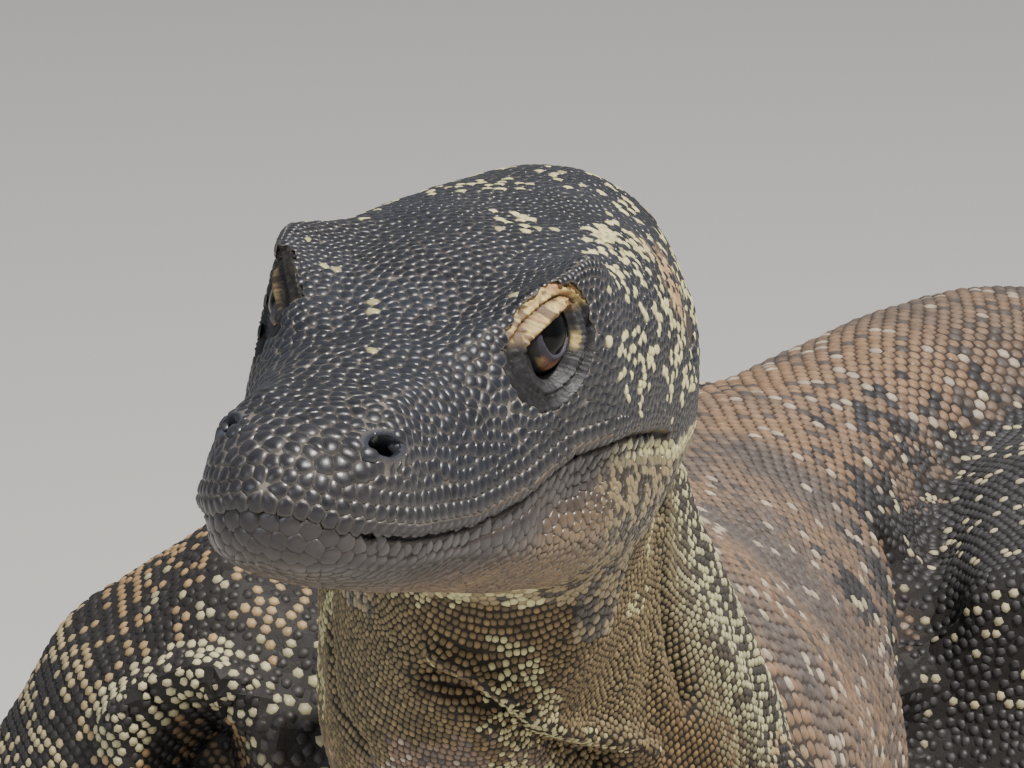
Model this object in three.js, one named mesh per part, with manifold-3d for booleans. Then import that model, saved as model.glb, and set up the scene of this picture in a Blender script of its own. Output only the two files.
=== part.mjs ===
// A Komodo dragon at life size, lying on its belly with the fore body propped on its
// forelegs and the head raised and turned a little to its right.
// The animal faces -Y, its left is +X, and it rests on flats at z = 0. Millimetres.

import * as THREE from 'three';
import { mergeVertices } from 'three/addons/utils/BufferGeometryUtils.js';
import Module from 'manifold-3d';

const wasm = await Module();
wasm.setup();

// ---------------------------------------------------------------- driving dimensions

const headLength = 190;      // snout tip to ear
const headHeight = 320;      // height of the head's seat above the floor
const headTurn = { yaw: -17.8, pitch: -0.7, roll: 3.8 };   // degrees
const headSeat = { forward: 0.45, up: 0.10 };   // the seat's place in head lengths
const seam = 0.3;            // gap between neighbouring solids
const bodySides = 20;
const headSides = 22;
const headSteps = 15;
const tailSides = 12;
const limbSides = 10;
const palmSides = 8;
const toeSides = 5;
const eyeRadius = 10;
const clawLength = 19;

// Head sections, in head lengths: place forward of the ear, half width, height of the
// top and depth of the lower jaw below the line of the mouth corners, and squareness.
const headRows = [
  [1.000, 0.030, 0.055, 0.012, 2.0],
  [0.985, 0.066, 0.088, 0.034, 2.1],
  [0.950, 0.098, 0.118, 0.052, 2.2],
  [0.886, 0.124, 0.136, 0.072, 2.3],
  [0.800, 0.147, 0.146, 0.096, 2.4],
  [0.700, 0.163, 0.160, 0.120, 2.4],
  [0.600, 0.180, 0.178, 0.142, 2.4],
  [0.500, 0.197, 0.208, 0.164, 3.0],
  [0.400, 0.219, 0.238, 0.182, 3.8],
  [0.300, 0.234, 0.251, 0.196, 3.7],
  [0.200, 0.243, 0.260, 0.204, 3.1],
  [0.100, 0.243, 0.265, 0.208, 2.6],
  [0.000, 0.234, 0.268, 0.206, 2.2],
  [-0.080, 0.214, 0.266, 0.190, 2.1],
  [-0.150, 0.170, 0.240, 0.150, 2.0],
];
// The line of the mouth: place forward and height, in head lengths.
const mouthLine = [
  [1.10, 0.034], [0.97, 0.032], [0.92, 0.008], [0.85, -0.008], [0.70, -0.022],
  [0.57, -0.010], [0.46, 0.016], [0.33, 0.018], [0.20, 0.004],
];
const jawHinge = [0.10, -0.28];   // where the cut behind the jaw leaves the throat
const eyeSeat = { forward: 0.478, side: 0.130, up: 0.168 };
const brow = { forward: 0.42, side: 0.185, rise: 0.030, length: 0.100, width: 0.050, out: 0.012 };
const browFront = { forward: 0.56, side: 0.135, rise: 0.014, length: 0.060, width: 0.040, out: 0.006 };
const nostril = { forward: 0.886, side: 0.098, up: 0.096, radii: [0.026, 0.034, 0.020] };
const ear = { forward: 0.000, side: 0.214, up: 0.075, radii: [0.022, 0.042, 0.056] };
const eardrum = { forward: 0.000, side: 0.206, up: 0.075, radii: [0.012, 0.034, 0.045] };

// Body sections: x, y, height of the axis, half width, rise to the back, drop to the
// belly. Places are measured from the point below the head's seat.
const neckRows = [
  [19, 62, 316, 38, 34, 62],
  [19, 92, 290, 42, 36, 82],
  [22, 116, 258, 46, 42, 84],
  [32, 146, 210, 53, 50, 74],
  [43, 192, 162, 56, 58, 70],
  [36, 250, 130, 66, 60, 60],
];
const trunkRows = [
  [18, 146, 116, 22, 26, 28],
  [19, 168, 120, 60, 60, 66],
  [22, 212, 122, 82, 96, 102],
  [26, 300, 114, 96, 106, 110],
  [34, 400, 100, 98, 102, 101],
  [52, 500, 92, 92, 98, 94],
  [84, 600, 87, 76, 92, 89],
  [124, 700, 83, 62, 90, 85],
  [168, 785, 82, 66, 92, 83],
  [206, 868, 75, 60, 88, 76],
];
const tailRows = [
  [250, 955, 57, 44, 68, 58],
  [312, 1040, 47, 35, 57, 48],
  [392, 1110, 40, 29, 49, 41],
  [486, 1158, 34, 24, 41, 35],
  [588, 1178, 28, 19, 33, 29],
  [690, 1172, 22, 15, 26, 23],
  [788, 1146, 17, 11.5, 20, 18],
  [880, 1108, 12, 8.5, 14, 13],
  [966, 1070, 8, 5.5, 9, 9],
  [1046, 1046, 4.5, 3, 4.5, 5.5],
];
// The stations, counted from the first row, at which each run is parted.
const neckCuts = { neck: [0, 2.5, 5] };
const bodyCuts = { trunk: [0, 3, 6, 9], tail: [9, 11, 13, 15, 17, 19] };

// Limbs: joints from the body outwards as x, y, z and the radius there, then the way
// the hand or foot points, in degrees from -Y towards +X.
const limbs = {
  fore_left: {
    upper: [[52, 186, 134, 40], [80, 160, 140, 48], [116, 164, 124, 40], [150, 180, 104, 32]],
    lower: [[150, 180, 104, 32], [160, 158, 80, 33], [166, 130, 50, 26], [169, 112, 30, 21]],
    palm: [169, 112, 20], points: 12, span: 70, toe: 52,
  },
  fore_right: {
    upper: [[-4, 226, 154, 46], [-34, 240, 174, 62], [-78, 244, 140, 48], [-116, 238, 102, 34]],
    lower: [[-116, 238, 102, 34], [-128, 214, 78, 33], [-135, 182, 50, 26], [-140, 162, 30, 21]],
    palm: [-140, 162, 20], points: -30, span: 70, toe: 52,
  },
  hind_left: {
    upper: [[160, 782, 84, 50], [206, 724, 98, 54], [204, 640, 104, 52], [192, 560, 98, 44]],
    lower: [[192, 560, 98, 44], [206, 590, 76, 38], [226, 632, 52, 29], [238, 646, 32, 23]],
    palm: [238, 646, 22], points: 26, span: 84, toe: 70,
  },
  hind_right: {
    upper: [[136, 800, 86, 46], [92, 796, 96, 52], [44, 764, 104, 46], [-4, 722, 98, 38]],
    lower: [[-4, 722, 98, 38], [-16, 758, 74, 34], [-30, 800, 46, 28], [-38, 818, 32, 23]],
    palm: [-38, 818, 22], points: -58, span: 84, toe: 70,
  },
};
const toeFan = [-46, -22, 0, 22, 50];             // degrees either side of the way it points
const foreToes = [0.66, 0.92, 1.0, 0.94, 0.62];   // share of the longest toe, thumb first
const hindToes = [0.56, 0.78, 1.0, 1.14, 0.66];

const colours = { hide: 0x2b2a2a, flank: 0x5b4d42, throat: 0x6d5a3e, claw: 0x1d1a18, eye: 0x120d0a, ear: 0x241d19 };

// ---------------------------------------------------------------- solids

// A closed geometry becomes a solid once its vertices are shared and slivers are gone.
function solidOf(geometry) {
  geometry.deleteAttribute('normal');
  geometry.deleteAttribute('uv');
  const merged = mergeVertices(geometry, 1e-3);
  const corners = merged.getIndex().array;
  const kept = [];
  for (let i = 0; i < corners.length; i += 3) {
    const [a, b, c] = [corners[i], corners[i + 1], corners[i + 2]];
    if (a !== b && b !== c && c !== a) kept.push(a, b, c);
  }
  return new wasm.Manifold(new wasm.Mesh({
    numProp: 3,
    vertProperties: new Float32Array(merged.getAttribute('position').array),
    triVerts: new Uint32Array(kept),
  }));
}

// Moves every vertex of a geometry by a function of its place.
function reshape(geometry, place) {
  const position = geometry.getAttribute('position');
  const point = new THREE.Vector3();
  for (let i = 0; i < position.count; i++) {
    point.fromBufferAttribute(position, i);
    position.setXYZ(i, ...place(point).toArray());
  }
  return geometry;
}

function boxSolid(size, centre) {
  return solidOf(new THREE.BoxGeometry(...size).translate(...centre));
}

const belowFloor = boxSolid([4000, 4000, 400], [0, 0, -200]);

// A smooth curve of numbers through rows: value(t) for t from 0 to 1.
function through(rows) {
  const width = rows[0].length;
  const curves = [];
  for (let k = 0; k < width; k += 3) {
    const points = rows.map(row => new THREE.Vector3(row[k], row[k + 1] ?? 0, row[k + 2] ?? 0));
    curves.push(new THREE.CatmullRomCurve3(points, false, 'catmullrom', 0.5));
  }
  return t => curves.flatMap(curve => curve.getPoint(t).toArray()).slice(0, width);
}

// A tube whose sections stand square to its axis: left, back and belly sizes change
// along it. between gives the stretch of the rows that is used, and swell widens and
// lengthens it, for the room that its neighbours leave.
function tube(rows, { between = [0, 1], sides = bodySides, steps = 6, swell = 0, square = 2 }) {
  const at = through(rows);
  const along = t => new THREE.Vector3(...at(THREE.MathUtils.clamp(t, 0, 1)));
  const vertical = new THREE.Vector3(0, 0, 1);
  const geometry = new THREE.CylinderGeometry(1, 1, 1, sides, steps);
  return solidOf(reshape(geometry, point => {
    const t = THREE.MathUtils.lerp(between[0], between[1], point.y + 0.5);
    const [x, y, z, halfWidth, rise, drop] = at(t);
    const tangent = along(t + 0.01).sub(along(t - 0.01)).normalize();
    const left = tangent.clone().cross(vertical).normalize();
    const back = left.clone().cross(tangent);
    const reach = Math.hypot(point.x, point.z);
    const [across, high] = superPoint(point.x, point.z, reach, square);
    const height = high > 0 ? rise + swell : drop + swell;
    const end = Math.abs(point.y) > 0.499 ? Math.sign(point.y) : 0;
    return new THREE.Vector3(x, y, z)
      .addScaledVector(tangent, end * swell)
      .addScaledVector(left, across * (halfWidth + swell))
      .addScaledVector(back, high * height);
  }));
}

// A unit circle's point moved onto a superellipse of the given exponent.
function superPoint(x, z, reach, exponent) {
  if (reach < 1e-6) return [0, 0];
  const [c, s] = [x / reach, z / reach];
  const power = 2 / exponent;
  return [reach * Math.sign(c) * Math.abs(c) ** power, reach * Math.sign(s) * Math.abs(s) ** power];
}

// A ball squashed to three radii.
function ellipsoid(radii, sides, rings) {
  return new THREE.SphereGeometry(1, sides, rings).scale(...radii);
}

// ---------------------------------------------------------------- head

const headTurnMatrix = new THREE.Matrix4().makeRotationFromEuler(new THREE.Euler(
  THREE.MathUtils.degToRad(headTurn.pitch),
  THREE.MathUtils.degToRad(headTurn.roll),
  THREE.MathUtils.degToRad(headTurn.yaw),
  'ZXY',
));
const headPlace = new THREE.Matrix4()
  .makeTranslation(0, 0, headHeight)
  .multiply(headTurnMatrix)
  .multiply(new THREE.Matrix4().makeScale(headLength, headLength, headLength))
  .multiply(new THREE.Matrix4().makeTranslation(0, headSeat.forward, -headSeat.up));

// A point of the head from its place forward of the ear, to the left and up.
function headPoint(forward, side, up) {
  return new THREE.Vector3(side, -forward, up).applyMatrix4(headPlace);
}

function bump(forward, side, at) {
  const along = (forward - at.forward) / at.length;
  const across = (Math.abs(side) - at.side) / at.width;
  return Math.exp(-along * along - across * across);
}

function headSolid(swell) {
  const at = through(headRows.map(row => row.concat(0)));
  const geometry = new THREE.CylinderGeometry(1, 1, 1, headSides, headSteps);
  return solidOf(reshape(geometry, point => {
    const [forward, halfWidth, top, drop, exponent] = at(point.y + 0.5);
    const reach = Math.hypot(point.x, point.z);
    const [across, high] = superPoint(point.x, point.z, reach, exponent);
    const side = across * (halfWidth + swell / headLength);
    const up = high * ((high > 0 ? top : drop) + swell / headLength);
    if (high < 0.35) return headPoint(forward, side, up);
    const ridge = [brow, browFront].map(at => [at, bump(forward, side, at)]);
    const lift = ridge.reduce((sum, [at, share]) => sum + at.rise * share, 0);
    const push = ridge.reduce((sum, [at, share]) => sum + at.out * share, 0);
    return headPoint(forward, side + Math.sign(side) * push, up + lift);
  }));
}

// The space below the mouth line and in front of the jaw hinge, through the whole head.
function jawSpace(lift) {
  const line = mouthLine.map(([forward, up]) => new THREE.Vector2(-forward, up + lift));
  const corner = mouthLine.at(-1);
  const outline = [
    ...new THREE.SplineCurve(line).getPoints(16),
    new THREE.Vector2(-corner[0] + lift, corner[1] + lift),
    new THREE.Vector2(-jawHinge[0] + lift, jawHinge[1]),
    new THREE.Vector2(-1.1, jawHinge[1]),
  ];
  const depth = 0.6;
  const geometry = new THREE.ExtrudeGeometry(new THREE.Shape(outline), { depth, bevelEnabled: false });
  geometry.translate(0, 0, -depth / 2);
  return solidOf(reshape(geometry, point => headPoint(-point.x, point.z, point.y)));
}

function headPieces() {
  let skull = headSolid(0);
  for (const side of [-1, 1]) {
    skull = skull.subtract(eyeBall(side, seam));
    skull = skull.subtract(headPocket(nostril, side, 0));
    skull = skull.subtract(headPocket(ear, side, seam));
  }
  const pieces = {
    head: skull.subtract(jawSpace(seam / headLength)),
    lower_jaw: headSolid(0).intersect(jawSpace(0)),
  };
  for (const [side, hand] of [[1, 'left'], [-1, 'right']]) {
    pieces[`eye_${hand}`] = eyeBall(side, 0);
    pieces[`eardrum_${hand}`] = headPocket(eardrum, side, 0);
  }
  return pieces;
}

function eyeBall(side, swell) {
  const centre = headPoint(eyeSeat.forward, side * eyeSeat.side, eyeSeat.up);
  const radius = eyeRadius + swell;
  return solidOf(ellipsoid([radius, radius, radius], 12, 8).translate(...centre.toArray()));
}

function headPocket(place, side, swell) {
  const [across, along, high] = place.radii.map(r => r + swell / headLength);
  const geometry = ellipsoid([across, along, high], 10, 6);
  return solidOf(reshape(geometry, point => headPoint(
    place.forward - point.y,
    side * place.side + point.x,
    place.up + point.z,
  )));
}

// ---------------------------------------------------------------- body

// Parts one tube at its cuts, with a seam between each length and the next.
function lengths(rows, cuts, options) {
  const pieces = {};
  const last = rows.length - 1;
  const axis = new THREE.CatmullRomCurve3(rows.map(([x, y, z]) => new THREE.Vector3(x, y, z)));
  const gap = seam / axis.getLength();
  for (const [name, stations] of Object.entries(cuts)) {
    for (let i = 1; i < stations.length; i++) {
      const start = stations[i - 1] / last + (stations[i - 1] > 0 ? gap : 0);
      pieces[`${name}_${i}`] = tube(rows, { ...options(name), between: [start, stations[i] / last] });
    }
  }
  return pieces;
}

// ---------------------------------------------------------------- limbs

function limbRows(joints) {
  return joints.map(([x, y, z, radius]) => [x, y, z, radius, radius, radius]);
}

// A palm with five toes fanned from it, and the seats of their claws.
function handOf(limb, shares) {
  const [x, y, z] = limb.palm;
  const heading = THREE.MathUtils.degToRad(limb.points);
  const left = x > 0;
  const ahead = angle => new THREE.Vector3(Math.sin(angle), -Math.cos(angle), 0);
  const middle = ahead(heading);
  const palmEnd = new THREE.Vector3(x, y, 0).addScaledVector(middle, limb.span * 0.62);
  const heel = new THREE.Vector3(x, y, 0).addScaledVector(middle, -6);
  const wide = limb.span * 0.36;
  let hand = tube([
    [heel.x, heel.y, z, 15, 16, 20],
    [(heel.x + palmEnd.x) / 2, (heel.y + palmEnd.y) / 2, 13, wide * 0.8, 14, 16],
    [palmEnd.x, palmEnd.y, 9, wide, 7, 12],
  ], { sides: palmSides, steps: 3 });
  const claws = [];
  shares.forEach((share, i) => {
    const turn = THREE.MathUtils.degToRad(toeFan[i]) * (left ? -1 : 1);
    const way = ahead(heading - turn);
    const root = palmEnd.clone()
      .addScaledVector(new THREE.Vector3(-middle.y, middle.x, 0), Math.sin(-turn) * -wide * 0.95)
      .addScaledVector(middle, -14 * Math.abs(Math.sin(turn)) - 6);
    const reach = limb.toe * share + 8;
    const spot = (along, height, radius) => {
      const point = root.clone().addScaledVector(way, reach * along);
      return [point.x, point.y, height, radius, radius, radius];
    };
    hand = hand.add(tube([
      spot(0, 9, 9), spot(0.5, 11, 8.4), spot(0.82, 9, 7.8), spot(1, 9, 6.4),
    ], { sides: toeSides, steps: 3 }));
    const tip = root.clone().addScaledVector(way, reach + 2 * seam);
    claws.push(clawSolid(tip, way, clawLength * (0.75 + 0.25 * share)));
  });
  return { hand, claws };
}

// A curved claw from the toe's end, its point turned down to the ground.
function clawSolid(seat, way, long) {
  const spot = (along, height, wide, deep) => {
    const point = seat.clone().addScaledVector(way, along * long);
    return [point.x, point.y, height, wide, deep, deep];
  };
  return tube([
    spot(0, 9, 3.4, 4.6), spot(0.36, 9, 2.7, 3.6), spot(0.7, 7, 1.7, 2.2), spot(1, 2.2, 0.4, 0.5),
  ], { sides: toeSides, steps: 3 });
}

// ---------------------------------------------------------------- assembly

const pieces = headPieces();
const bodyRows = [...trunkRows, ...tailRows];
const neckOptions = { steps: 4 };
const trunkOptions = { steps: 6, square: 2.2 };
const tailOptions = { steps: 4, square: 2.2, sides: tailSides };
const neck = lengths(neckRows, neckCuts, () => neckOptions);
const body = lengths(bodyRows, bodyCuts, name => (name === 'trunk' ? trunkOptions : tailOptions));

const headRoom = headSolid(seam);
const trunkRoom = tube(bodyRows, {
  ...trunkOptions,
  steps: 18,
  swell: seam,
  between: [0, (trunkRows.length - 1) / (bodyRows.length - 1)],
});
for (const [name, piece] of Object.entries(neck)) {
  pieces[name] = piece.subtract(headRoom).subtract(trunkRoom);
}
const bodyRoom = trunkRoom.add(tube(neckRows, { ...neckOptions, steps: 8, swell: seam }));
Object.assign(pieces, body);

for (const [name, limb] of Object.entries(limbs)) {
  const fore = name.startsWith('fore');
  const { hand, claws } = handOf(limb, fore ? foreToes : hindToes);
  const upperOptions = { sides: limbSides, steps: 6 };
  const lowerOptions = { sides: limbSides, steps: 3 };
  const upper = tube(limbRows(limb.upper), upperOptions);
  const lower = tube(limbRows(limb.lower), lowerOptions);
  const upperRoom = tube(limbRows(limb.upper), { ...upperOptions, swell: seam });
  const lowerRoom = tube(limbRows(limb.lower), { ...lowerOptions, swell: seam });
  pieces[`${name}_upper`] = upper.subtract(bodyRoom);
  pieces[`${name}_lower`] = lower.subtract(upperRoom).subtract(bodyRoom);
  pieces[`${name}_foot`] = hand.subtract(lowerRoom);
  claws.forEach((claw, i) => {
    pieces[`${name}_claw_${i + 1}`] = claw;
  });
}

function colourOf(name) {
  if (name.includes('claw')) return colours.claw;
  if (name.startsWith('eye')) return colours.eye;
  if (name.startsWith('eardrum')) return colours.ear;
  if (name.startsWith('neck')) return colours.throat;
  return name.startsWith('trunk') ? colours.flank : colours.hide;
}

const dragon = new THREE.Group();
for (const [name, solid] of Object.entries(pieces)) {
  const { vertProperties, triVerts, numProp } = solid.subtract(belowFloor).getMesh();
  const geometry = new THREE.BufferGeometry();
  const buffer = new THREE.InterleavedBuffer(vertProperties, numProp);
  geometry.setAttribute('position', new THREE.InterleavedBufferAttribute(buffer, 3, 0));
  geometry.setIndex(new THREE.BufferAttribute(triVerts, 1));
  const material = new THREE.MeshStandardMaterial({
    color: colourOf(name),
    roughness: name.startsWith('eye') ? 0.15 : 0.6,
    metalness: 0,
  });
  const mesh = new THREE.Mesh(geometry, material);
  mesh.name = name;
  dragon.add(mesh);
}

// The model's origin is the middle of its footprint, on the floor.
const bounds = new THREE.Box3().setFromObject(dragon);
const middle = bounds.getCenter(new THREE.Vector3());
dragon.position.set(-middle.x, -middle.y, -bounds.min.z);

export default dragon;
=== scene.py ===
import math

import bmesh
import bpy
import numpy as np
from mathutils import Matrix, Vector
from mathutils.bvhtree import BVHTree
from mathutils.kdtree import KDTree


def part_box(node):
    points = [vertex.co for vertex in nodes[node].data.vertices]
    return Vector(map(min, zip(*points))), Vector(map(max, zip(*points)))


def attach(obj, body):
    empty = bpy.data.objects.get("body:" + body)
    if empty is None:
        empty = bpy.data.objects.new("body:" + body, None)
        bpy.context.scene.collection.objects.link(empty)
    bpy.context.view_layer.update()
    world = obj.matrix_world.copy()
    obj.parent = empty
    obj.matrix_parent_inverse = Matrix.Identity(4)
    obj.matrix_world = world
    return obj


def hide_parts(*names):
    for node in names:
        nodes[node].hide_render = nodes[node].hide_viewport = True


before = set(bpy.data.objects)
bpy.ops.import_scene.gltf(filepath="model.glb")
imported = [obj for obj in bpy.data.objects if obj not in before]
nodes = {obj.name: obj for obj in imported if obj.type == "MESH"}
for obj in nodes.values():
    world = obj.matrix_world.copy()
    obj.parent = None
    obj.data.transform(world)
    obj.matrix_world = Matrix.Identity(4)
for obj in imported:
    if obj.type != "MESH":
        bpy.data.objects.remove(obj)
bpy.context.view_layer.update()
dice = np.random.default_rng(41)
print("frame loaded:", len(nodes), "nodes")

mm = 0.001

# small maths used all over


def unit(v):
    return v / np.maximum(np.linalg.norm(v, axis=-1, keepdims=True), 1e-12)


def bell(x, width):
    return np.exp(-(x / width) ** 2)


def ramp(x, low, high):
    t = np.clip((x - low) / (high - low), 0, 1)
    return t * t * (3 - 2 * t)


def mixTone(a, b, share):
    share = np.asarray(share)[..., None]
    return np.asarray(a) * (1 - share) + np.asarray(b) * share


def hashed(cells, salt):
    x, y, z = cells[..., 0], cells[..., 1], cells[..., 2]
    n = (x * 73856093) ^ (y * 19349663) ^ (z * 83492791) ^ (salt * 2654435)
    n = (n ^ (n >> 13)) * 1274126177
    return ((n ^ (n >> 16)) & 0xFFFF) / 65535.0


def cloud(points, size, salt=0):
    # smooth value noise from 0 to 1, one blob about size metres across
    q = np.asarray(points) / size
    base = np.floor(q).astype(np.int64)
    t = q - base
    t = t * t * (3 - 2 * t)
    total = np.zeros(len(q))
    for corner in range(8):
        step = np.array([corner & 1, (corner >> 1) & 1, corner >> 2])
        weight = np.prod(np.where(step, t, 1 - t), axis=1)
        total += weight * hashed(base + step, salt)
    return total


def spanOf(a, b, c, d, t):
    # the smooth curve from b to c, coming from a and going on to d
    return 0.5 * (2 * b + (c - a) * t + (2 * a - 5 * b + 4 * c - d) * t**2
                  + (3 * b - a - 3 * c + d) * t**3)


def catmull(points, perSpan=12):
    # a smooth line through points, evenly stepped in each span
    p = np.asarray(points, float)
    p = np.vstack([2 * p[0] - p[1], p, 2 * p[-1] - p[-2]])
    t = np.arange(perSpan)[:, None] / perSpan
    spans = [spanOf(a, b, c, d, t) for a, b, c, d in zip(p, p[1:], p[2:], p[3:])]
    return np.vstack(spans + [p[-2:-1]])


# the head's own frame
# places on the head are (forward, left, up) in head lengths: the ear is forward 0,
# the snout tip forward 1, and up 0 is the height of the mouth corners

head = {
    "length": 0.190,
    "yaw": -17.8, "pitch": -0.7, "roll": 3.8,
    "eyeForward": 0.478, "eyeUp": 0.168,
}


def turn(axis, degrees):
    return np.array(Matrix.Rotation(math.radians(degrees), 3, axis))


def centreOf(node):
    low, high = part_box(node)
    return (np.array(low) + np.array(high)) / 2


headTurn = turn("Z", head["yaw"]) @ turn("X", head["pitch"]) @ turn("Y", head["roll"])
eyeMiddle = (centreOf("eye_left") + centreOf("eye_right")) / 2
earPoint = eyeMiddle - headTurn @ np.array([0, -head["eyeForward"], head["eyeUp"]]) * head["length"]


def toHead(points):
    local = (np.asarray(points) - earPoint) @ headTurn / head["length"]
    return -local[..., 1], local[..., 0], local[..., 2]


def fromHead(forward, left, up):
    local = np.stack(np.broadcast_arrays(left, -np.asarray(forward, float), up), axis=-1)
    return earPoint + (local * head["length"]) @ headTurn.T


def headWay(forward, left, up):
    return unit(headTurn @ np.array([left, -forward, up]))


seat = fromHead(0.45, 0, 0.10)  # the head's balance point, under which the body is laid out

# camera, before anything slow

view = {
    "elevation": 12.0, "distance": 1.805, "pixelsPerMetre": 834 / 0.190,
    "seatPixel": (419, 369), "frame": (1024, 768),
}


def setCamera():
    up = math.radians(view["elevation"])
    back = Vector((0, -math.cos(up), math.sin(up)))
    right, top = Vector((1, 0, 0)), Vector((0, math.sin(up), math.cos(up)))
    camera = bpy.data.cameras.new("camera")
    camera.sensor_width = 36
    camera.lens = 36 * view["pixelsPerMetre"] * view["distance"] / view["frame"][0]
    camera.clip_end = 200
    across = (view["frame"][0] / 2 - view["seatPixel"][0]) / view["pixelsPerMetre"]
    down = (view["frame"][1] / 2 - view["seatPixel"][1]) / view["pixelsPerMetre"]
    aim = Vector(seat) + right * across - top * down
    holder = bpy.data.objects.new("camera", camera)
    holder.location = Vector(seat) + back * view["distance"]
    holder.rotation_euler = (aim - holder.location).to_track_quat("-Z", "Y").to_euler()
    bpy.context.collection.objects.link(holder)
    bpy.context.scene.camera = holder


setCamera()

# axes of the body and limbs
# metres from the seat's foot on the floor, from the head end or the body outwards

routes = {
    "neck": [(19, 62, 316), (19, 92, 290), (22, 116, 258), (32, 146, 210), (43, 192, 162), (36, 250, 130)],
    "body": [(18, 146, 116), (22, 212, 122), (26, 300, 114), (34, 400, 100), (52, 500, 92), (84, 600, 87),
             (124, 700, 83), (168, 785, 82), (206, 868, 75), (250, 955, 57), (312, 1040, 47), (392, 1110, 40),
             (486, 1158, 34), (588, 1178, 28), (690, 1172, 22), (788, 1146, 17), (880, 1108, 12),
             (966, 1070, 8), (1046, 1046, 4.5)],
    "foreLeft": [(52, 186, 134), (80, 160, 140), (116, 164, 124), (150, 180, 104), (160, 158, 80),
                 (166, 130, 50), (169, 112, 26), (184, 40, 14)],
    "foreRight": [(-4, 226, 154), (-34, 240, 174), (-78, 244, 140), (-116, 238, 102), (-128, 214, 78),
                  (-135, 182, 50), (-140, 162, 26), (-180, 92, 14)],
    "hindLeft": [(160, 782, 84), (206, 724, 98), (204, 640, 104), (192, 560, 98), (206, 590, 76),
                 (226, 632, 52), (238, 646, 30), (276, 568, 14)],
    "hindRight": [(136, 800, 86), (92, 796, 96), (44, 764, 104), (-4, 722, 98), (-16, 758, 74),
                  (-30, 800, 46), (-38, 818, 30), (-112, 772, 14)],
}
foot = np.array([seat[0], seat[1], 0.0])


def runOf(line):
    # distance along a line at each of its points
    return np.concatenate([[0], np.cumsum(np.linalg.norm(np.diff(line, axis=0), axis=1))])


def evenly(line, run, first, step):
    # places at even steps along a line
    wanted = np.arange(first, run[-1], step)
    return np.stack([np.interp(wanted, run, line[:, k]) for k in range(3)], axis=1)


class Axis:
    # a smooth centre line that gives how far along it a point lies, and its angle round it
    def __init__(self, points):
        self.line = catmull(np.array(points) * mm + foot)
        self.run = runOf(self.line)
        way = unit(np.gradient(self.line, axis=0))
        self.left = unit(np.cross(way, [0, 0, 1]))
        self.back = np.cross(self.left, way)
        self.way = way

    def place(self, points):
        # distance along, angle round (0 on the back), and distance off the line
        along = np.empty(len(points))
        angle = np.empty(len(points))
        off = np.empty(len(points))
        for start in range(0, len(points), 20000):
            some = points[start:start + 20000]
            gap = some[:, None, :] - self.line[None, :, :]
            near = np.argmin((gap**2).sum(axis=2), axis=1)
            arm = gap[np.arange(len(some)), near]
            shift = (arm * self.way[near]).sum(axis=1)
            along[start:start + 20000] = self.run[near] + shift
            x = (arm * self.left[near]).sum(axis=1)
            y = (arm * self.back[near]).sum(axis=1)
            angle[start:start + 20000] = np.arctan2(x, y)
            off[start:start + 20000] = np.hypot(x, y)
        return along, angle, off


axes = {name: Axis(points) for name, points in routes.items()}

# skin: one surface through all the flesh

skinPlan = {
    "voxel": 5.2 * mm,       # grid of the first surface
    "swell": 0.5 * mm,       # closes the seams between the solids
    "sink": 0.9 * mm,        # room left for the scales
    "rounds": 70,            # smoothing rounds over the facets
    "pull": 0.55,            # each round pulls in by this share and lets out by the next,
    "letOut": 0.57,          # so that the facets go and the shape keeps its size
    "floor": 0.5 * mm,       # lowest the skin may lie
}
fleshNames = [n for n in nodes if not n.startswith("eardrum") and "claw" not in n]


def meshOf(name, points, corners, sizes=None):
    # a mesh from arrays: corners is (faces, 3 or 4), or flat with sizes
    mesh = bpy.data.meshes.new(name)
    points = np.asarray(points, np.float32)
    if sizes is None:
        sizes = np.full(len(corners), corners.shape[1])
        corners = corners.ravel()
    mesh.vertices.add(len(points))
    mesh.vertices.foreach_set("co", points.ravel())
    mesh.loops.add(len(corners))
    mesh.loops.foreach_set("vertex_index", np.asarray(corners, np.int32))
    mesh.polygons.add(len(sizes))
    mesh.polygons.foreach_set("loop_start", np.concatenate([[0], np.cumsum(sizes)[:-1]]).astype(np.int32))
    mesh.update(calc_edges=True)
    mesh.shade_smooth()
    return mesh


def shown(name, mesh):
    piece = bpy.data.objects.new(name, mesh)
    bpy.context.collection.objects.link(piece)
    return piece


def pointsOf(mesh):
    flat = np.empty(len(mesh.vertices) * 3, np.float32)
    mesh.vertices.foreach_get("co", flat)
    return flat.reshape(-1, 3).astype(float)


def normalsOf(mesh):
    flat = np.empty(len(mesh.vertices) * 3, np.float32)
    mesh.vertex_normals.foreach_get("vector", flat)
    return flat.reshape(-1, 3).astype(float)


def movePoints(mesh, points):
    mesh.vertices.foreach_set("co", points.astype(np.float32).ravel())
    mesh.update()


def trianglesOf(mesh):
    mesh.calc_loop_triangles()
    flat = np.empty(len(mesh.loop_triangles) * 3, np.int32)
    mesh.loop_triangles.foreach_get("vertices", flat)
    return flat.reshape(-1, 3)


def edgesOf(mesh):
    flat = np.empty(len(mesh.edges) * 2, np.int32)
    mesh.edges.foreach_get("vertices", flat)
    return flat.reshape(-1, 2)


def relax(points, edges, strength, rounds):
    # pulls each point towards the middle of its neighbours, by its own strength
    a, b = edges[:, 0], edges[:, 1]
    count = np.bincount(np.concatenate([a, b]), minlength=len(points))[:, None]
    for _ in range(rounds):
        middle = np.zeros_like(points)
        for k in range(3):
            middle[:, k] = np.bincount(a, points[b, k], len(points))
            middle[:, k] += np.bincount(b, points[a, k], len(points))
        points = points + strength[:, None] * (middle / np.maximum(count, 1) - points)
    return points


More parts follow.
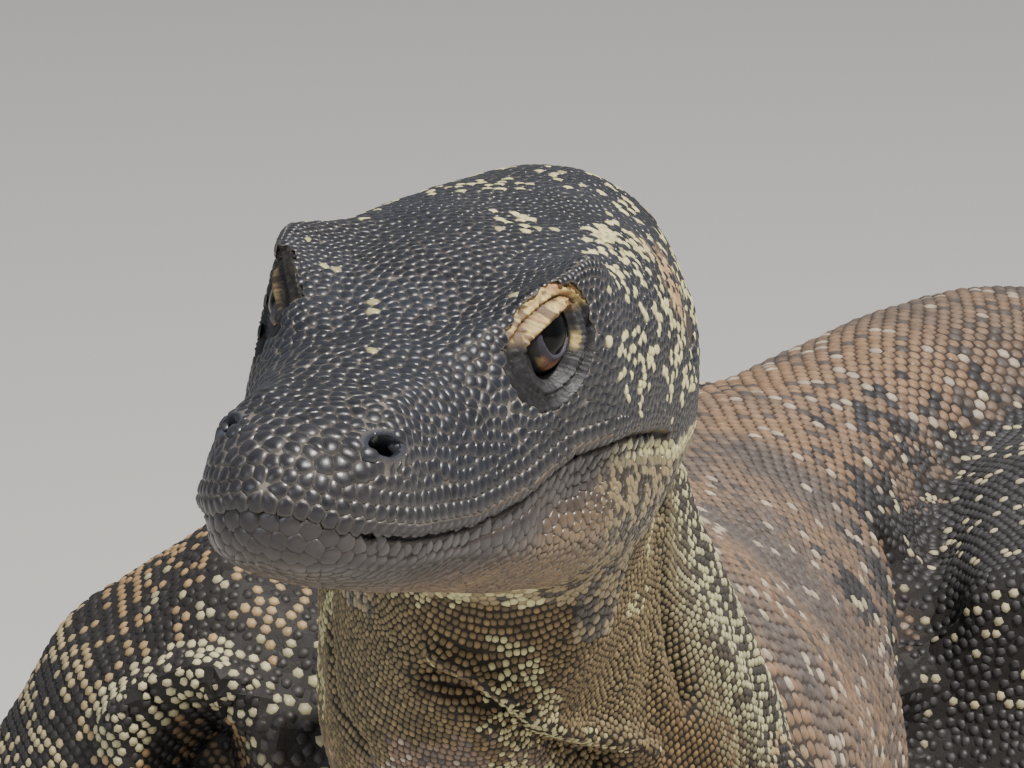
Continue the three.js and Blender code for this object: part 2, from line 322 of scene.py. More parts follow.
def firstSkin():
    build = bmesh.new()
    for name in fleshNames:
        mesh = nodes[name].data
        before = len(build.verts)
        build.from_mesh(mesh)
        build.verts.ensure_lookup_table()
        new = build.verts[before:]
        bmesh.ops.recalc_face_normals(build, faces=list({f for v in new for f in v.link_faces}))
        for v in new:
            v.normal_update()
        for v in new:
            v.co += v.normal * skinPlan["swell"]
    mesh = bpy.data.meshes.new("rough")
    build.to_mesh(mesh)
    build.free()
    rough = shown("rough", mesh)
    remesh = rough.modifiers.new("remesh", "REMESH")
    remesh.mode = "VOXEL"
    remesh.voxel_size = skinPlan["voxel"]
    fine = bpy.data.meshes.new_from_object(rough.evaluated_get(bpy.context.evaluated_depsgraph_get()))
    bpy.data.objects.remove(rough)
    return fine


def legGirth(share):
    return ([0, 0.09, 0.2, 0.3], [share * 0.8, share, 0.028, 0.03])


girths = {
    # how far each part's markings reach from its axis: metres along the axis, and metres off it
    "neck": ([0], [0.055]),
    "body": ([0, 0.08, 0.45, 0.72, 0.95, 1.3, 1.9], [0.07, 0.10, 0.11, 0.075, 0.05, 0.025, 0.006]),
    "foreLeft": legGirth(0.052), "foreRight": legGirth(0.062), "hindRight": legGirth(0.058),
    "hindLeft": ([0, 0.08, 0.11, 0.14, 0.22, 0.26, 0.3], [0.045, 0.062, 0.074, 0.095, 0.098, 0.06, 0.032]),
}
legNames = ("foreLeft", "foreRight", "hindLeft", "hindRight")
borders = {
    # size of the wander in metres and how strongly it counts
    "wander": [(0.030, 1.0), (0.008, 0.7), (0.003, 0.6)], "wanderMiddle": 1.15,
    "neckFrom": 0.22, "neckTo": 0.27,  # metres along the neck where its markings give way
}


def regionOf(points, ragged=0.0):
    # which part of the animal each point belongs to, by the nearest axis for its size;
    # ragged lets the borders wander
    best = np.full(len(points), np.inf)
    region = np.full(len(points), "body", dtype=object)
    places = {}
    for name, axis in axes.items():
        along, angle, off = axis.place(points)
        places[name] = (along, angle, off)
        score = off / np.interp(along, *girths[name])
        if name in legNames:
            score = np.where(along <= 0.03, score + 0.4, score)
        if name == "neck":
            score = score + 0.8 * ramp(along, borders["neckFrom"], borders["neckTo"])
        if ragged:
            salt = 80 + 3 * len(places)
            wander = sum(weight * cloud(points, width, salt + k)
                         for k, (width, weight) in enumerate(borders["wander"]))
            score += ragged * (wander - borders["wanderMiddle"])
        closer = score < best
        best = np.where(closer, score, best)
        region[closer] = name
    forward, left, up = toHead(points)
    inHead = (forward > -0.10) & (forward < 1.2) & (np.abs(left) < 0.4)
    inHead &= (up > -0.22 - 0.06 * (forward < 0.2)) & (up < 0.4)
    stray = 0.10 * ragged * (cloud(points, 0.006, 79) - 0.5) if ragged else 0.0
    neckSide = (forward < 0.12) & (up + stray < -0.10 - 0.5 * forward)
    region[inHead & ~neckSide] = "head"
    return region, places


softness = {"head": 0.35, "neck": 0.9, "body": 1.0, "legs": 0.9, "feet": 0.2}
tailSoftness = ([0.7, 1.0, 1.5, 1.9], [1.0, 0.8, 0.5, 0.2])  # by metres along the trunk and tail
footFrom = 0.26  # metres along a leg


def softenFacets(mesh):
    # long smoothing on the trunk, hardly any on the head, feet and tail tip
    points = pointsOf(mesh)
    region, places = regionOf(points)
    strength = np.array([softness.get(r, softness["legs"]) for r in region])
    for name in legNames:
        feet = (region == name) & (places[name][0] > footFrom)
        strength[feet] = softness["feet"]
    tail = region == "body"
    strength[tail] = np.interp(places["body"][0][tail], *tailSoftness)
    edges = edgesOf(mesh)
    even = np.full(len(points), 0.5)
    strength = relax(strength[:, None].repeat(3, 1), edges, even, 12)[:, 0]
    for _ in range(skinPlan["rounds"]):
        points = relax(points, edges, skinPlan["pull"] * strength, 1)
        points = relax(points, edges, -skinPlan["letOut"] * strength, 1)
    movePoints(mesh, points)


def refine(mesh, wanted):
    # halves every edge that joins two wanted points
    build = bmesh.new()
    build.from_mesh(mesh)
    build.verts.ensure_lookup_table()
    edges = [e for e in build.edges if wanted[e.verts[0].index] and wanted[e.verts[1].index]]
    bmesh.ops.subdivide_edges(build, edges=edges, cuts=1, use_grid_fill=True)
    bmesh.ops.triangulate(build, faces=[f for f in build.faces if len(f.verts) > 4])
    build.to_mesh(mesh)
    build.free()


# the head's carving: lengths in mm, places in head units (forward, out to the side, up)

mouth = {
    "forward": [0.10, 0.133, 0.213, 0.309, 0.458, 0.572, 0.702, 0.847, 0.918, 0.963, 0.985, 1.02],
    "up": [-0.020, -0.014, 0.004, 0.018, 0.017, -0.010, -0.022, -0.008, 0.007, 0.019, 0.035, 0.048],
    "corner": 0.135, "depth": 1.5, "width": 0.9,
    "lip": 1.0, "lipUp": 3.6, "lipWidth": 2.6,  # mm it stands out, mm above the line, mm wide
    "tuck": 1.1, "tuckDown": 2.6, "tuckWidth": 2.2,
}
brow = {
    "line": [(0.575, 0.112, 0.166), (0.545, 0.135, 0.192), (0.510, 0.150, 0.208), (0.470, 0.163, 0.218),
             (0.430, 0.172, 0.222), (0.395, 0.174, 0.222), (0.362, 0.176, 0.214), (0.345, 0.182, 0.196)],
    "rise": [2.0, 4.6, 6.2, 7.0, 7.2, 6.4, 4.4, 1.6],
    "way": (0.0, 0.40, 0.92), "width": 4.4, "skirt": 12.0, "skirtShare": 0.30,
    "rightWay": (0.0, 0.72, 0.70),  # the right brow hangs further out
}
eye = {
    "place": (0.468, 0.130, 0.163), "radius": 10.0,
    "hub": (2.0, -0.5),  # the middle of the opening, forward and up from the eyeball's centre
    "outline": {0: 19.5, 20: 15.0, 45: 12.6, 75: 13.4, 100: 14.6, 120: 15.4, 140: 14.6, 160: 12.6,
                180: 11.0, 215: 10.2, 245: 11.4, 275: 14.0, 300: 17.4, 320: 20.2, 340: 21.0},
    "opening": {0: 7.7, 30: 6.6, 60: 6.0, 90: 6.2, 115: 7.6, 133: 9.0, 150: 8.2, 180: 6.7,
                215: 6.3, 240: 7.2, 270: 7.9, 300: 7.7, 330: 7.3},
    "bulge": 0.55, "bulgeFrom": 3.0, "bulgeTo": 5.8,  # mm out, and mm from the pupil's middle
    "disc": (2.2, 2.4, 5.4),  # the dark disc's middle and radius, seen from the side
}
nostril = {
    "place": (0.874, 0.088, 0.097), "long": 4.5, "high": 2.3, "depth": 6.0, "rim": 0.9,
    "way": (0.29, 0.68, 0.68), "run": (-0.88, 0.45, -0.08),
}
folds = [
    # a line in head units, then how deep and wide in mm: creases of the cheek, throat and canthus
    {"line": [(0.50, 0.185, -0.045), (0.42, 0.20, -0.030), (0.30, 0.215, -0.022), (0.16, 0.22, -0.035)],
     "depth": 3.0, "width": 6.0},
    {"line": [(0.62, 0.16, -0.065), (0.48, 0.19, -0.075), (0.34, 0.20, -0.085), (0.2, 0.20, -0.10)],
     "depth": -1.4, "width": 6.0},
    {"line": [(0.79, 0.125, 0.060), (0.70, 0.14, 0.072), (0.61, 0.155, 0.080)], "depth": 1.6, "width": 8.0},
    {"line": [(0.82, 0.075, 0.135), (0.74, 0.085, 0.155), (0.64, 0.100, 0.178), (0.58, 0.112, 0.186)],
     "depth": -1.5, "width": 5.0},
    {"line": [(0.36, 0.10, 0.25), (0.48, 0.08, 0.22), (0.60, 0.05, 0.19)], "depth": 1.2, "width": 7.0},
    {"line": [(0.905, 0.085, 0.085), (0.84, 0.092, 0.105)], "depth": -1.6, "width": 9.0},
]

earPit = {"place": (0.0, 0.075), "reach": (0.034, 0.046), "depth": 4.2}
wrinkles = [
    # lines (forward, left, up) in head units; depth in mm, less than nothing for a ridge, and width in mm
    {"line": [(0.06, 0.21, -0.10), (-0.054, 0.183, -0.155), (-0.053, 0.182, -0.207),
              (-0.088, 0.181, -0.28), (-0.126, 0.19, -0.353), (-0.168, 0.205, -0.426)],
     "depth": 4.5, "width": 3.6},
    {"line": [(0.06, -0.21, -0.10), (-0.04, -0.20, -0.16), (-0.04, -0.21, -0.24), (-0.08, -0.23, -0.32)],
     "depth": 4.0, "width": 3.6},
    {"line": [(-0.02, 0.18, -0.17), (-0.03, 0.18, -0.24), (-0.06, 0.185, -0.33), (-0.10, 0.20, -0.42)],
     "depth": -2.4, "width": 3.4},
    {"line": [(0.256, -0.008, -0.300), (0.255, 0.04, -0.315), (0.246, 0.069, -0.339), (0.205, 0.097, -0.375),
              (0.089, 0.118, -0.42), (-0.016, 0.152, -0.449), (-0.092, 0.175, -0.481)],
     "depth": -4.0, "width": 3.0},
    {"line": [(0.25, -0.03, -0.335), (0.25, 0.03, -0.350), (0.235, 0.069, -0.372), (0.19, 0.097, -0.408),
              (0.08, 0.118, -0.452), (-0.016, 0.152, -0.482)], "depth": 6.0, "width": 3.2},
    {"line": [(0.06, -0.225, -0.345), (0.078, -0.206, -0.375), (0.077, -0.196, -0.426),
              (0.12, -0.146, -0.467)], "depth": 3.4, "width": 3.6},
    {"line": [(-0.43, -0.66, -0.64), (-0.431, -0.60, -0.575), (-0.426, -0.545, -0.555),
              (-0.429, -0.48, -0.57), (-0.425, -0.43, -0.62), (-0.42, -0.42, -0.69)],
     "depth": -7.0, "width": 6.0},
    {"line": [(-2.71, -0.12, -0.83), (-2.68, -0.10, -0.88), (-2.60, -0.08, -0.94), (-2.48, -0.06, -1.00),
              (-2.56, -0.06, -1.09)], "depth": 14.0, "width": 10.0},
]
hollows = [
    # middle (forward, left, up) and reach in head units, depth in mm: the pit under the shoulder's fold
    {"place": (-0.42, -0.545, -0.70), "reach": (0.20, 0.095, 0.12), "depth": 24.0},
]


def aroundHub(table, angle):
    # a closed, smooth outline through a few distances given by angle in degrees
    keys = np.array(sorted(table), float)
    values = np.array([table[int(k)] for k in keys])
    keys = np.concatenate([keys - 360, keys, keys + 360])
    values = np.tile(values, 3)
    t = np.degrees(angle) % 360
    i = np.searchsorted(keys, t, side="right")
    a, b, c, d = values[i - 2], values[i - 1], values[i], values[(i + 1) % len(values)]
    x = (t - keys[i - 1]) / (keys[i] - keys[i - 1])
    return spanOf(a, b, c, d, x)


def offLine(forward, out, up, line, values=None):
    # distance in mm from a line given in head units, and a value carried along it
    fine = catmull(line, 8)
    length = head["length"] / mm
    gap = np.stack([forward, out, up], axis=1)[:, None, :] - fine[None, :, :]
    d2 = (gap**2).sum(axis=2)
    near = np.argmin(d2, axis=1)
    carried = None
    if values is not None:
        along = np.linspace(0, len(fine) - 1, len(values))
        carried = np.interp(near, along, values)
    return np.sqrt(d2[np.arange(len(forward)), near]) * length, carried


def mouthHeight(forward):
    return np.interp(forward, mouth["forward"], mouth["up"])


def fromEye(forward, out, up):
    # mm from the eyeball's centre, and the share of the way from the opening's hub to the socket's outline
    length = head["length"] / mm
    f = (forward - eye["place"][0]) * length
    o = (out - eye["place"][1]) * length
    u = (up - eye["place"][2]) * length
    angle = np.arctan2(u - eye["hub"][1], f - eye["hub"][0])
    share = np.hypot(f - eye["hub"][0], u - eye["hub"][1]) / aroundHub(eye["outline"], angle)
    return f, o, u, share


def nostrilWays():
    run, face = unit(np.array(nostril["run"])), unit(np.array(nostril["way"]))
    return run, unit(np.cross(face, run)), face


def nostrilReach(forward, out, up):
    # the share of the way from the nostril's middle to its rim, and mm along the way it faces
    arm = (np.stack([forward, out, up], axis=1) - nostril["place"]) * head["length"] / mm
    run, across, face = nostrilWays()
    reach = np.sqrt((arm @ run / nostril["long"])**2 + (arm @ across / nostril["high"])**2)
    return reach, np.abs(arm @ face)


def closeWork(points):
    # where the mesh has to be finest: mouth line, eyes and nostrils
    forward, left, up = toHead(points)
    out = np.abs(left)
    length = head["length"] / mm
    line = np.abs(up - mouthHeight(forward)) * length < 3.5
    line &= (forward > 0.11) & (forward < 1.05)
    line &= (out > 0.5 * np.interp(forward, [0.1, 0.9, 1.0], [0.2, 0.09, 0.0]))
    _, o, _, share = fromEye(forward, out, up)
    socket = (share < 1.12) & (o > -6)
    arm = np.stack([forward, out, up], axis=1) - nostril["place"]
    hole = np.linalg.norm(arm, axis=1) * length < 8
    return line | socket | hole


def carveHead(points, normals):
    forward, left, up = toHead(points)
    side = np.sign(left)
    out = np.abs(left)
    inside = (forward > -0.25) & (forward < 1.1) & (up > -0.3)
    f, l, u = forward[inside], out[inside], up[inside]
    way = normals[inside]
    moved = points[inside].copy()
    sideOf = side[inside]

    def push(direction, amount):
        # a direction in head units, mirrored for the right side
        straight = np.ones(len(f))
        world = np.stack([direction[1] * sideOf, -direction[0] * straight, direction[2] * straight], axis=1)
        return unit(world) @ headTurn.T * (amount * mm)[:, None]

    off, rise = offLine(f, l, u, brow["line"], brow["rise"])
    skirt = brow["skirtShare"]
    lift = rise * ((1 - skirt) * bell(off, brow["width"]) + skirt * bell(off, brow["skirt"]))
    moved += push(brow["way"], lift * (sideOf > 0)) + push(brow["rightWay"], lift * (sideOf < 0))

    d = (u - mouthHeight(f)) * head["length"] / mm
    front = np.clip((f - mouth["corner"]) / 0.04, 0, 1) * (l > 0.0)
    cut = -mouth["depth"] * bell(d, mouth["width"])
    swell = mouth["lip"] * bell(d - mouth["lipUp"], mouth["lipWidth"])
    swell -= mouth["tuck"] * bell(d + mouth["tuckDown"], mouth["tuckWidth"])
    swell *= 1 - 0.75 * ramp(f, 0.86, 0.97)
    moved += way * ((cut + swell) * front * mm)[:, None]

    for fold in folds:
        off, _ = offLine(f, l, u, fold["line"])
        moved -= way * (fold["depth"] * bell(off, fold["width"]) * mm)[:, None]

    (earF, earU), (wide, high) = earPit["place"], earPit["reach"]
    ear = np.hypot((f - earF) / wide, (u - earU) / high)
    pit = earPit["depth"] * (1 - ramp(ear, 0.62, 1.12)) * (l > 0.12)
    moved += push((0.0, -1.0, 0.0), pit)

    reach, away = nostrilReach(f, l, u)
    near = away < 9
    hole = np.where(near, nostril["depth"] * (1 - ramp(reach, 0.62, 1.08)), 0)
    rim = np.where(near, nostril["rim"] * bell(reach - 1.45, 0.45), 0)
    moved += push(nostril["way"], rim - hole)
    result = points.copy()
    result[inside] = moved
    return result


slack = {
    "neck": 1.1, "neckFolds": 15,        # mm they rise, and how many lie round the neck
    "trunk": 0.9, "trunkStep": 0.026,    # mm they rise, and metres from one to the next
}


def foldBody(points, normals):
    # creases, ridges and slack skin behind the head
    forward, left, up = toHead(points)
    away = np.zeros(len(points))
    for fold in wrinkles:
        middle = np.mean(fold["line"], axis=0)
        near = np.abs(forward - middle[0]) + np.abs(left - middle[1]) + np.abs(up - middle[2]) < 0.7
        off, _ = offLine(forward[near], left[near], up[near], fold["line"])
        away[near] -= fold["depth"] * bell(off, fold["width"])
    for hollow in hollows:
        arm = (np.stack([forward, left, up], axis=1) - hollow["place"]) / hollow["reach"]
        away -= hollow["depth"] * (1 - ramp(np.linalg.norm(arm, axis=1), 0.55, 1.05))
    region, places = regionOf(points)
    _, angle, _ = places["neck"]
    beside = ramp(np.abs(np.sin(angle)), 0.35, 0.8)
    pleats = np.sin(angle * slack["neckFolds"] + 5 * cloud(points, 0.04, 91)) * beside
    away += slack["neck"] * pleats * cloud(points, 0.03, 92) * (region == "neck")
    s, angle, _ = places["body"]
    beside = ramp(np.abs(np.sin(angle)), 0.5, 0.9)
    pleats = np.sin(s * 2 * math.pi / slack["trunkStep"] + 5 * cloud(points, 0.07, 93)) * beside
    away += slack["trunk"] * pleats * cloud(points, 0.05, 94) * (region == "body") * (1 - ramp(s, 0.65, 0.9))
    return points + normals * (away * mm)[:, None]


def toRefine(points, level):
    # finer and finer: head and throat, then the head, then where the carving is closest
    if level == 2:
        return closeWork(points)
    forward, left, up = toHead(points)
    wide = 0.03 * (1 - level)
    wanted = (forward > -0.06 - wide) & (up > -0.17 - wide) & (np.abs(left) < 0.4) & (up < 0.4)
    if level == 0:
        wanted |= (forward > -0.30) & (up > -0.55) & (np.abs(left) < 0.34)
    return wanted


def makeSkin():
    mesh = firstSkin()
    softenFacets(mesh)
    for level, rounds in enumerate((5, 8, 3)):
        refine(mesh, toRefine(pointsOf(mesh), level))
        points = pointsOf(mesh)
        forward, _, up = toHead(points)
        onHead = np.where((forward > -0.08) & (up > -0.2), 0.5, 0.0)
        movePoints(mesh, relax(points, edgesOf(mesh), onHead, rounds))
    normals = normalsOf(mesh)
    points = carveHead(pointsOf(mesh) - normals * skinPlan["sink"], normals)
    points = foldBody(points, normals)
    points[:, 2] = np.maximum(points[:, 2], skinPlan["floor"])
    movePoints(mesh, points)
    return mesh


class Hide:
    # looks up the surface: nearest place, smooth normal and where a ray meets it
    def __init__(self, mesh):
        self.points = pointsOf(mesh)
        self.normals = normalsOf(mesh)
        self.triangles = trianglesOf(mesh)
        self.tree = BVHTree.FromPolygons(self.points.tolist(), self.triangles.tolist())

    def smoothNormal(self, places, faces):
        a, b, c = (self.points[self.triangles[faces, k]] for k in range(3))
        v0, v1, v2 = b - a, c - a, places - a
        d00, d01, d11 = (v0 * v0).sum(1), (v0 * v1).sum(1), (v1 * v1).sum(1)
        d20, d21 = (v2 * v0).sum(1), (v2 * v1).sum(1)
        scale = np.maximum(d00 * d11 - d01 * d01, 1e-20)
        v = np.clip((d11 * d20 - d01 * d21) / scale, 0, 1)
        w = np.clip((d00 * d21 - d01 * d20) / scale, 0, 1)
        n = [self.normals[self.triangles[faces, k]] for k in range(3)]
        return unit(n[0] * (1 - v - w)[:, None] + n[1] * v[:, None] + n[2] * w[:, None])

    def settle(self, places):
        found = np.empty((len(places), 3))
        faces = np.empty(len(places), int)
        for i, place in enumerate(places.tolist()):
            spot, _, face, _ = self.tree.find_nearest(place)
            found[i] = spot
            faces[i] = face
        return found, self.smoothNormal(found, faces)

    def sprinkle(self, count, weight):
        # random places, denser where weight is larger
        a, b, c = (self.points[self.triangles[:, k]] for k in range(3))
        area = np.linalg.norm(np.cross(b - a, c - a), axis=1)
        share = area * weight((a + b + c) / 3)
        faces = dice.choice(len(area), count, p=share / share.sum())
        x, y = dice.random(count), dice.random(count)
        flip = x + y > 1
        x[flip], y[flip] = 1 - x[flip], 1 - y[flip]
        places = a[faces] + (b - a)[faces] * x[:, None] + (c - a)[faces] * y[:, None]
        return places, self.smoothNormal(places, faces)


skinMesh = makeSkin()
hide = Hide(skinMesh)
print("skin:", len(hide.triangles), "triangles")

# the eyelids' shape, which the skin gives way to

lidPlan = {
    "around": 168, "rings": 34, "tucked": 3,  # the last are the rings tucked in behind the edge
    "tuckIn": 0.45, "tuckWide": 0.12,     # mm each of them goes in and out from the one before
    "overBall": 0.5, "rim": 1.02,         # mm over the eyeball; the rim against the socket's outline
    "upperFrom": 8, "upperTo": 141,       # degrees round the hub
    "underBrow": {1: 1.2, -1: 2.6},       # mm the left and right upper lid lie under the brow
    "behind": 1.3,                        # mm the skin lies under the lids
    "facing": 0.42,                       # how squarely the skin must face outward to carry the rim
    "roll": 1.5, "fold": 1.1, "lowerRoll": 1.5, "wrinkle": 0.34,  # mm they stand out
    "crease": 0.43, "lowerCrease": 0.60,  # share of the way from the edge to the rim
}


def eyePoint(side, f, o, u):
    # from mm about the eyeball's centre to the frame
    scale = mm / head["length"]
    place = eye["place"]
    return fromHead(place[0] + f * scale, side * (place[1] + o * scale), place[2] + u * scale)


def lidShape(side):
    # the ring of the opening and the ring of the rim, and how far out each lies, by angle round the hub
    around = lidPlan["around"]
    angle = np.linspace(0, 2 * math.pi, around, endpoint=False)
    inner, outer = aroundHub(eye["opening"], angle), aroundHub(eye["outline"], angle) * lidPlan["rim"]
    hubF, hubU = eye["hub"]
    f0, u0 = hubF + inner * np.cos(angle), hubU + inner * np.sin(angle)
    edge = np.sqrt(np.maximum((eye["radius"] + lidPlan["overBall"])**2 - f0**2 - u0**2, 1.0))
    f1, u1 = hubF + outer * np.cos(angle), hubU + outer * np.sin(angle)
    way = headTurn @ np.array([-side, 0, 0])
    rest = np.full(around, np.nan)
    for i in range(around):
        spot, normal, _, _ = hide.tree.ray_cast(eyePoint(side, f1[i], 30, u1[i]).tolist(), way.tolist(), 0.06)
        if spot is not None and -np.dot(normal, way) > lidPlan["facing"]:
            _, left, _ = toHead(np.array([spot]))
            rest[i] = (abs(left[0]) - eye["place"][1]) * head["length"] / mm
    known = np.flatnonzero(~np.isnan(rest))
    rest = np.interp(np.arange(around), known, rest[known], period=around)
    rest = np.convolve(np.concatenate([rest[-6:], rest, rest[:6]]), np.ones(13) / 13, "valid")
    degrees = np.degrees(angle)
    upper = ramp(degrees, lidPlan["upperFrom"] - 10, lidPlan["upperFrom"] + 8)
    upper = upper * (1 - ramp(degrees, lidPlan["upperTo"] - 8, lidPlan["upperTo"] + 6))
    return {"angle": angle, "inner": inner, "outer": outer, "edge": edge,
            "rest": rest - lidPlan["underBrow"][side] * upper, "upper": upper}


lidShapes = {side: lidShape(side) for side in (1, -1)}


def lidSlope(edge, rest, t):
    # from the height of the lid's edge to that of its rim
    return edge + (rest - edge) * ramp(t, -0.1, 1.0)


def lidHeight(side, f, u):
    # how far out the lids' plain shape lies at a place beside the eye
    shape = lidShapes[side]
    dF, dU = f - eye["hub"][0], u - eye["hub"][1]
    turned = np.arctan2(dU, dF) % (2 * math.pi)
    inner, outer, edge, rest = (np.interp(turned, shape["angle"], shape[k], period=2 * math.pi)
                                for k in ("inner", "outer", "edge", "rest"))
    t = (np.hypot(dF, dU) - inner) / (outer - inner)
    ball = np.sqrt(np.maximum(eye["radius"]**2 - f**2 - u**2, 1.0))
    return np.where(t > 0, lidSlope(edge, rest, t), ball)


def overLids(points):
    # how far each point stands out over the lids' shape less their own depth, 0 away from the eyes
    forward, left, up = toHead(points)
    over = np.zeros(len(points))
    for side in (1, -1):
        f, o, u, share = fromEye(forward, left * side, up)
        on = (share < 1.0) & (o > -8) & (np.abs(f) < 30)
        over[on] = np.maximum(o[on] - lidHeight(side, f[on], u[on]) + lidPlan["behind"], 0)
        over[on] *= 1 - ramp(share[on], 0.90, 0.97)
    return over


over = overLids(hide.points)
inward = (np.sign(toHead(hide.points)[1])[:, None] * np.array([-1.0, 0, 0])) @ headTurn.T
sunk = hide.points + inward * (over * mm)[:, None]
movePoints(skinMesh, sunk)


# colours, as light the surface gives back


def tone(red, green, blue):
    share = np.array([red, green, blue]) / 255
    return np.where(share <= 0.04045, share / 12.92, ((share + 0.055) / 1.055)**2.4)


tones = {
    "headScale": tone(19, 20, 26), "headPale": tone(42, 45, 55), "headGroove": tone(104, 98, 92),
    "snout": tone(44, 41, 44), "labial": tone(38, 36, 39), "lipEdge": tone(120, 100, 74),
    "jaw": tone(58, 53, 53), "jawUnder": tone(122, 100, 74), "jawGroove": tone(64, 57, 51),
    "cream": tone(208, 200, 144), "tan": tone(180, 144, 98), "dust": tone(122, 116, 106),
    "throatBead": tone(136, 120, 86), "throatPale": tone(184, 176, 130), "throatGroove": tone(36, 29, 21),
    "throatOchre": tone(128, 104, 68),
    "napeBead": tone(182, 178, 136), "napeDark": tone(62, 58, 52),
    "shoulderBead": tone(160, 130, 90), "shoulderDark": tone(40, 36, 34),
    "shoulderCream": tone(190, 182, 142),
    "trunkBead": tone(150, 120, 92), "trunkGrey": tone(98, 90, 85), "trunkCream": tone(184, 168, 148),
    "trunkGroove": tone(66, 57, 52), "belly": tone(158, 138, 122),
    "legDark": tone(62, 60, 62), "legBead": tone(196, 186, 150), "legGroove": tone(40, 37, 36),
    "tailDark": tone(66, 60, 56), "tailBead": tone(138, 120, 96),
    # hollow is painted shade: the near black laid into the deepest creases, the shoulder's pit, the thigh's
    # gap, the mouth slit, the nostrils and the skin under the lids
    "hollow": tone(12, 9, 8),
}


def pick(points, size, salt, share):
    # true for a share of the places, in clusters about size metres across
    return cloud(points, size, salt) + 0.35 * (cloud(points, size * 0.3, salt + 1) - 0.5) > 1 - share


class Place:
    # where points are on the animal, worked out once for the colours and sizes
    def __init__(self, points, ragged=0.0):
        self.points = points
        self.region, self.along = regionOf(points, ragged)
        self.forward, self.left, self.up = toHead(points)
        self.out = np.abs(self.left)
        self.aboveMouth = (self.up - mouthHeight(self.forward)) * head["length"] / mm

    def isIn(self, name):
        return self.region == name


def foldShade(place, number, wide=1.0):
    # from 0 to 1 along one of the wrinkles
    shade = np.zeros(len(place.points))
    line = np.array(wrinkles[number]["line"])
    arm = np.stack([place.forward, place.left, place.up], axis=1) - line.mean(axis=0)
    near = np.linalg.norm(arm, axis=1) < 0.5
    off, _ = offLine(place.forward[near], place.left[near], place.up[near], line)
    shade[near] = bell(off, wide * wrinkles[number]["width"])
    return shade


def pitShade(place):
    # from 1 in the shoulder's pit to 0 outside it, the share of its painted shade
    pit = hollows[0]
    arm = (np.stack([place.forward, place.left, place.up], axis=1) - pit["place"]) / pit["reach"]
    return 1 - ramp(np.linalg.norm(arm, axis=1), 0.5, 0.95)


def paintBody(place, wobble, name):
    # trunk and tail: brown beads in clouds, dark by the shoulders, banded on the tail
    p = place.points
    s, angle, _ = place.along[name]
    patch = cloud(p, 0.045, 5)
    tint = np.clip(patch * 1.7 - 0.3 + 0.5 * (wobble - 0.5), 0, 1)
    bead = mixTone(tones["trunkGrey"], tones["trunkBead"], tint)
    bead[wobble > 0.93] = tones["trunkCream"]
    bead[wobble < 0.10] = tones["tailDark"] * 1.9
    chest = nearForelegs(place, 0.055, 0.10)
    speckled = (wobble > 0.62)[:, None]
    bead = mixTone(bead, np.where(speckled, tones["shoulderCream"] * 0.8, tones["shoulderDark"] * 1.4), chest)
    underside = -np.cos(angle)
    brisket = 1 - ramp(place.along["neck"][2], 0.07, 0.11)
    brisket = brisket * ramp(underside, -0.1, 0.4) * (1 - chest)
    bead = mixTone(bead, tones["throatOchre"] * (0.5 + 0.6 * wobble[:, None]), brisket)
    low = ramp(underside, 0.55, 0.95) * (1 - np.maximum(chest, brisket))
    bead = mixTone(bead, tones["belly"] * (0.8 + 0.4 * wobble[:, None]), low * 0.8)
    tail = ramp(s, 0.70, 0.95)
    band = np.sin(s * 2 * math.pi / bandStep["tail"] + 1.5 * patch) > 0.2
    tailBead = np.where(((wobble > 0.55) & band)[:, None], tones["tailBead"], tones["tailDark"])
    bead = mixTone(bead, tailBead, tail)
    ground = mixTone(tones["trunkGroove"], tones["belly"], low * 0.6)
    ground = mixTone(ground, tones["legGroove"], np.maximum(np.maximum(tail, chest), brisket))
    return bead, ground


def paintLeg(place, wobble, name):
    # dark, with pale beads gathered in loose cross rows, and more of them on the forelegs
    p = place.points
    t = place.along[name][0]
    patch = cloud(p, 0.045, 5)
    row = np.sin(t * 2 * math.pi / bandStep["leg"] + 3 * patch) > 0.35
    ridge = foldShade(place, 6, 1.8) > 0.4
    if name.startswith("fore"):
        share, stray = 0.74, 0.45
        pale = mixTone(tones["shoulderBead"], tones["shoulderCream"], np.clip(patch * 2.4 - 0.7, 0, 1))
        dark = mixTone(tones["shoulderDark"], tones["legDark"], ramp(t, 0.05, 0.2))
    else:
        share, stray = 0.24, 0.25
        pale, dark = tones["legBead"], tones["legDark"]
    share = share * (1 - 0.7 * ramp(t, 0.20, 0.30))
    lit = (wobble < share) & (row | (wobble < stray * share) | ridge)
    pale = np.where(ridge[:, None], tones["shoulderCream"], pale)
    bead = np.where(lit[:, None], pale, dark * (0.7 + 0.6 * wobble[:, None]))
    return bead, np.tile(tones["legGroove"], (len(p), 1))


def lightPatches(place):
    # where the throat's beads turn pale
    return pick(place.points, 0.022, 11, 0.30) | (foldShade(place, 3) > 0.4)


def paintNeck(place, wobble, name):
    # tan rows on the throat, yellow-cream beads on the sides, dark nape
    p = place.points
    _, angle, _ = place.along[name]
    throat = ramp(-np.cos(angle - 0.1), -0.15, 0.45)
    warm = np.clip(cloud(p, 0.05, 12) * 2.2 - 1.0, 0, 1)
    front = mixTone(tones["throatBead"], tones["throatOchre"], warm) * (0.48 + 0.60 * wobble[:, None])
    pale = (lightPatches(place) & (wobble > 0.35)) | (foldShade(place, 3) > 0.5)
    front = np.where(pale[:, None], tones["throatPale"], front)
    dotted = (wobble < 0.25 + 0.5 * cloud(p, 0.045, 5))[:, None]
    back = np.where(dotted, tones["napeBead"], tones["napeDark"])
    return mixTone(back, front, throat), mixTone(tones["napeDark"] * 0.7, tones["throatGroove"], throat)


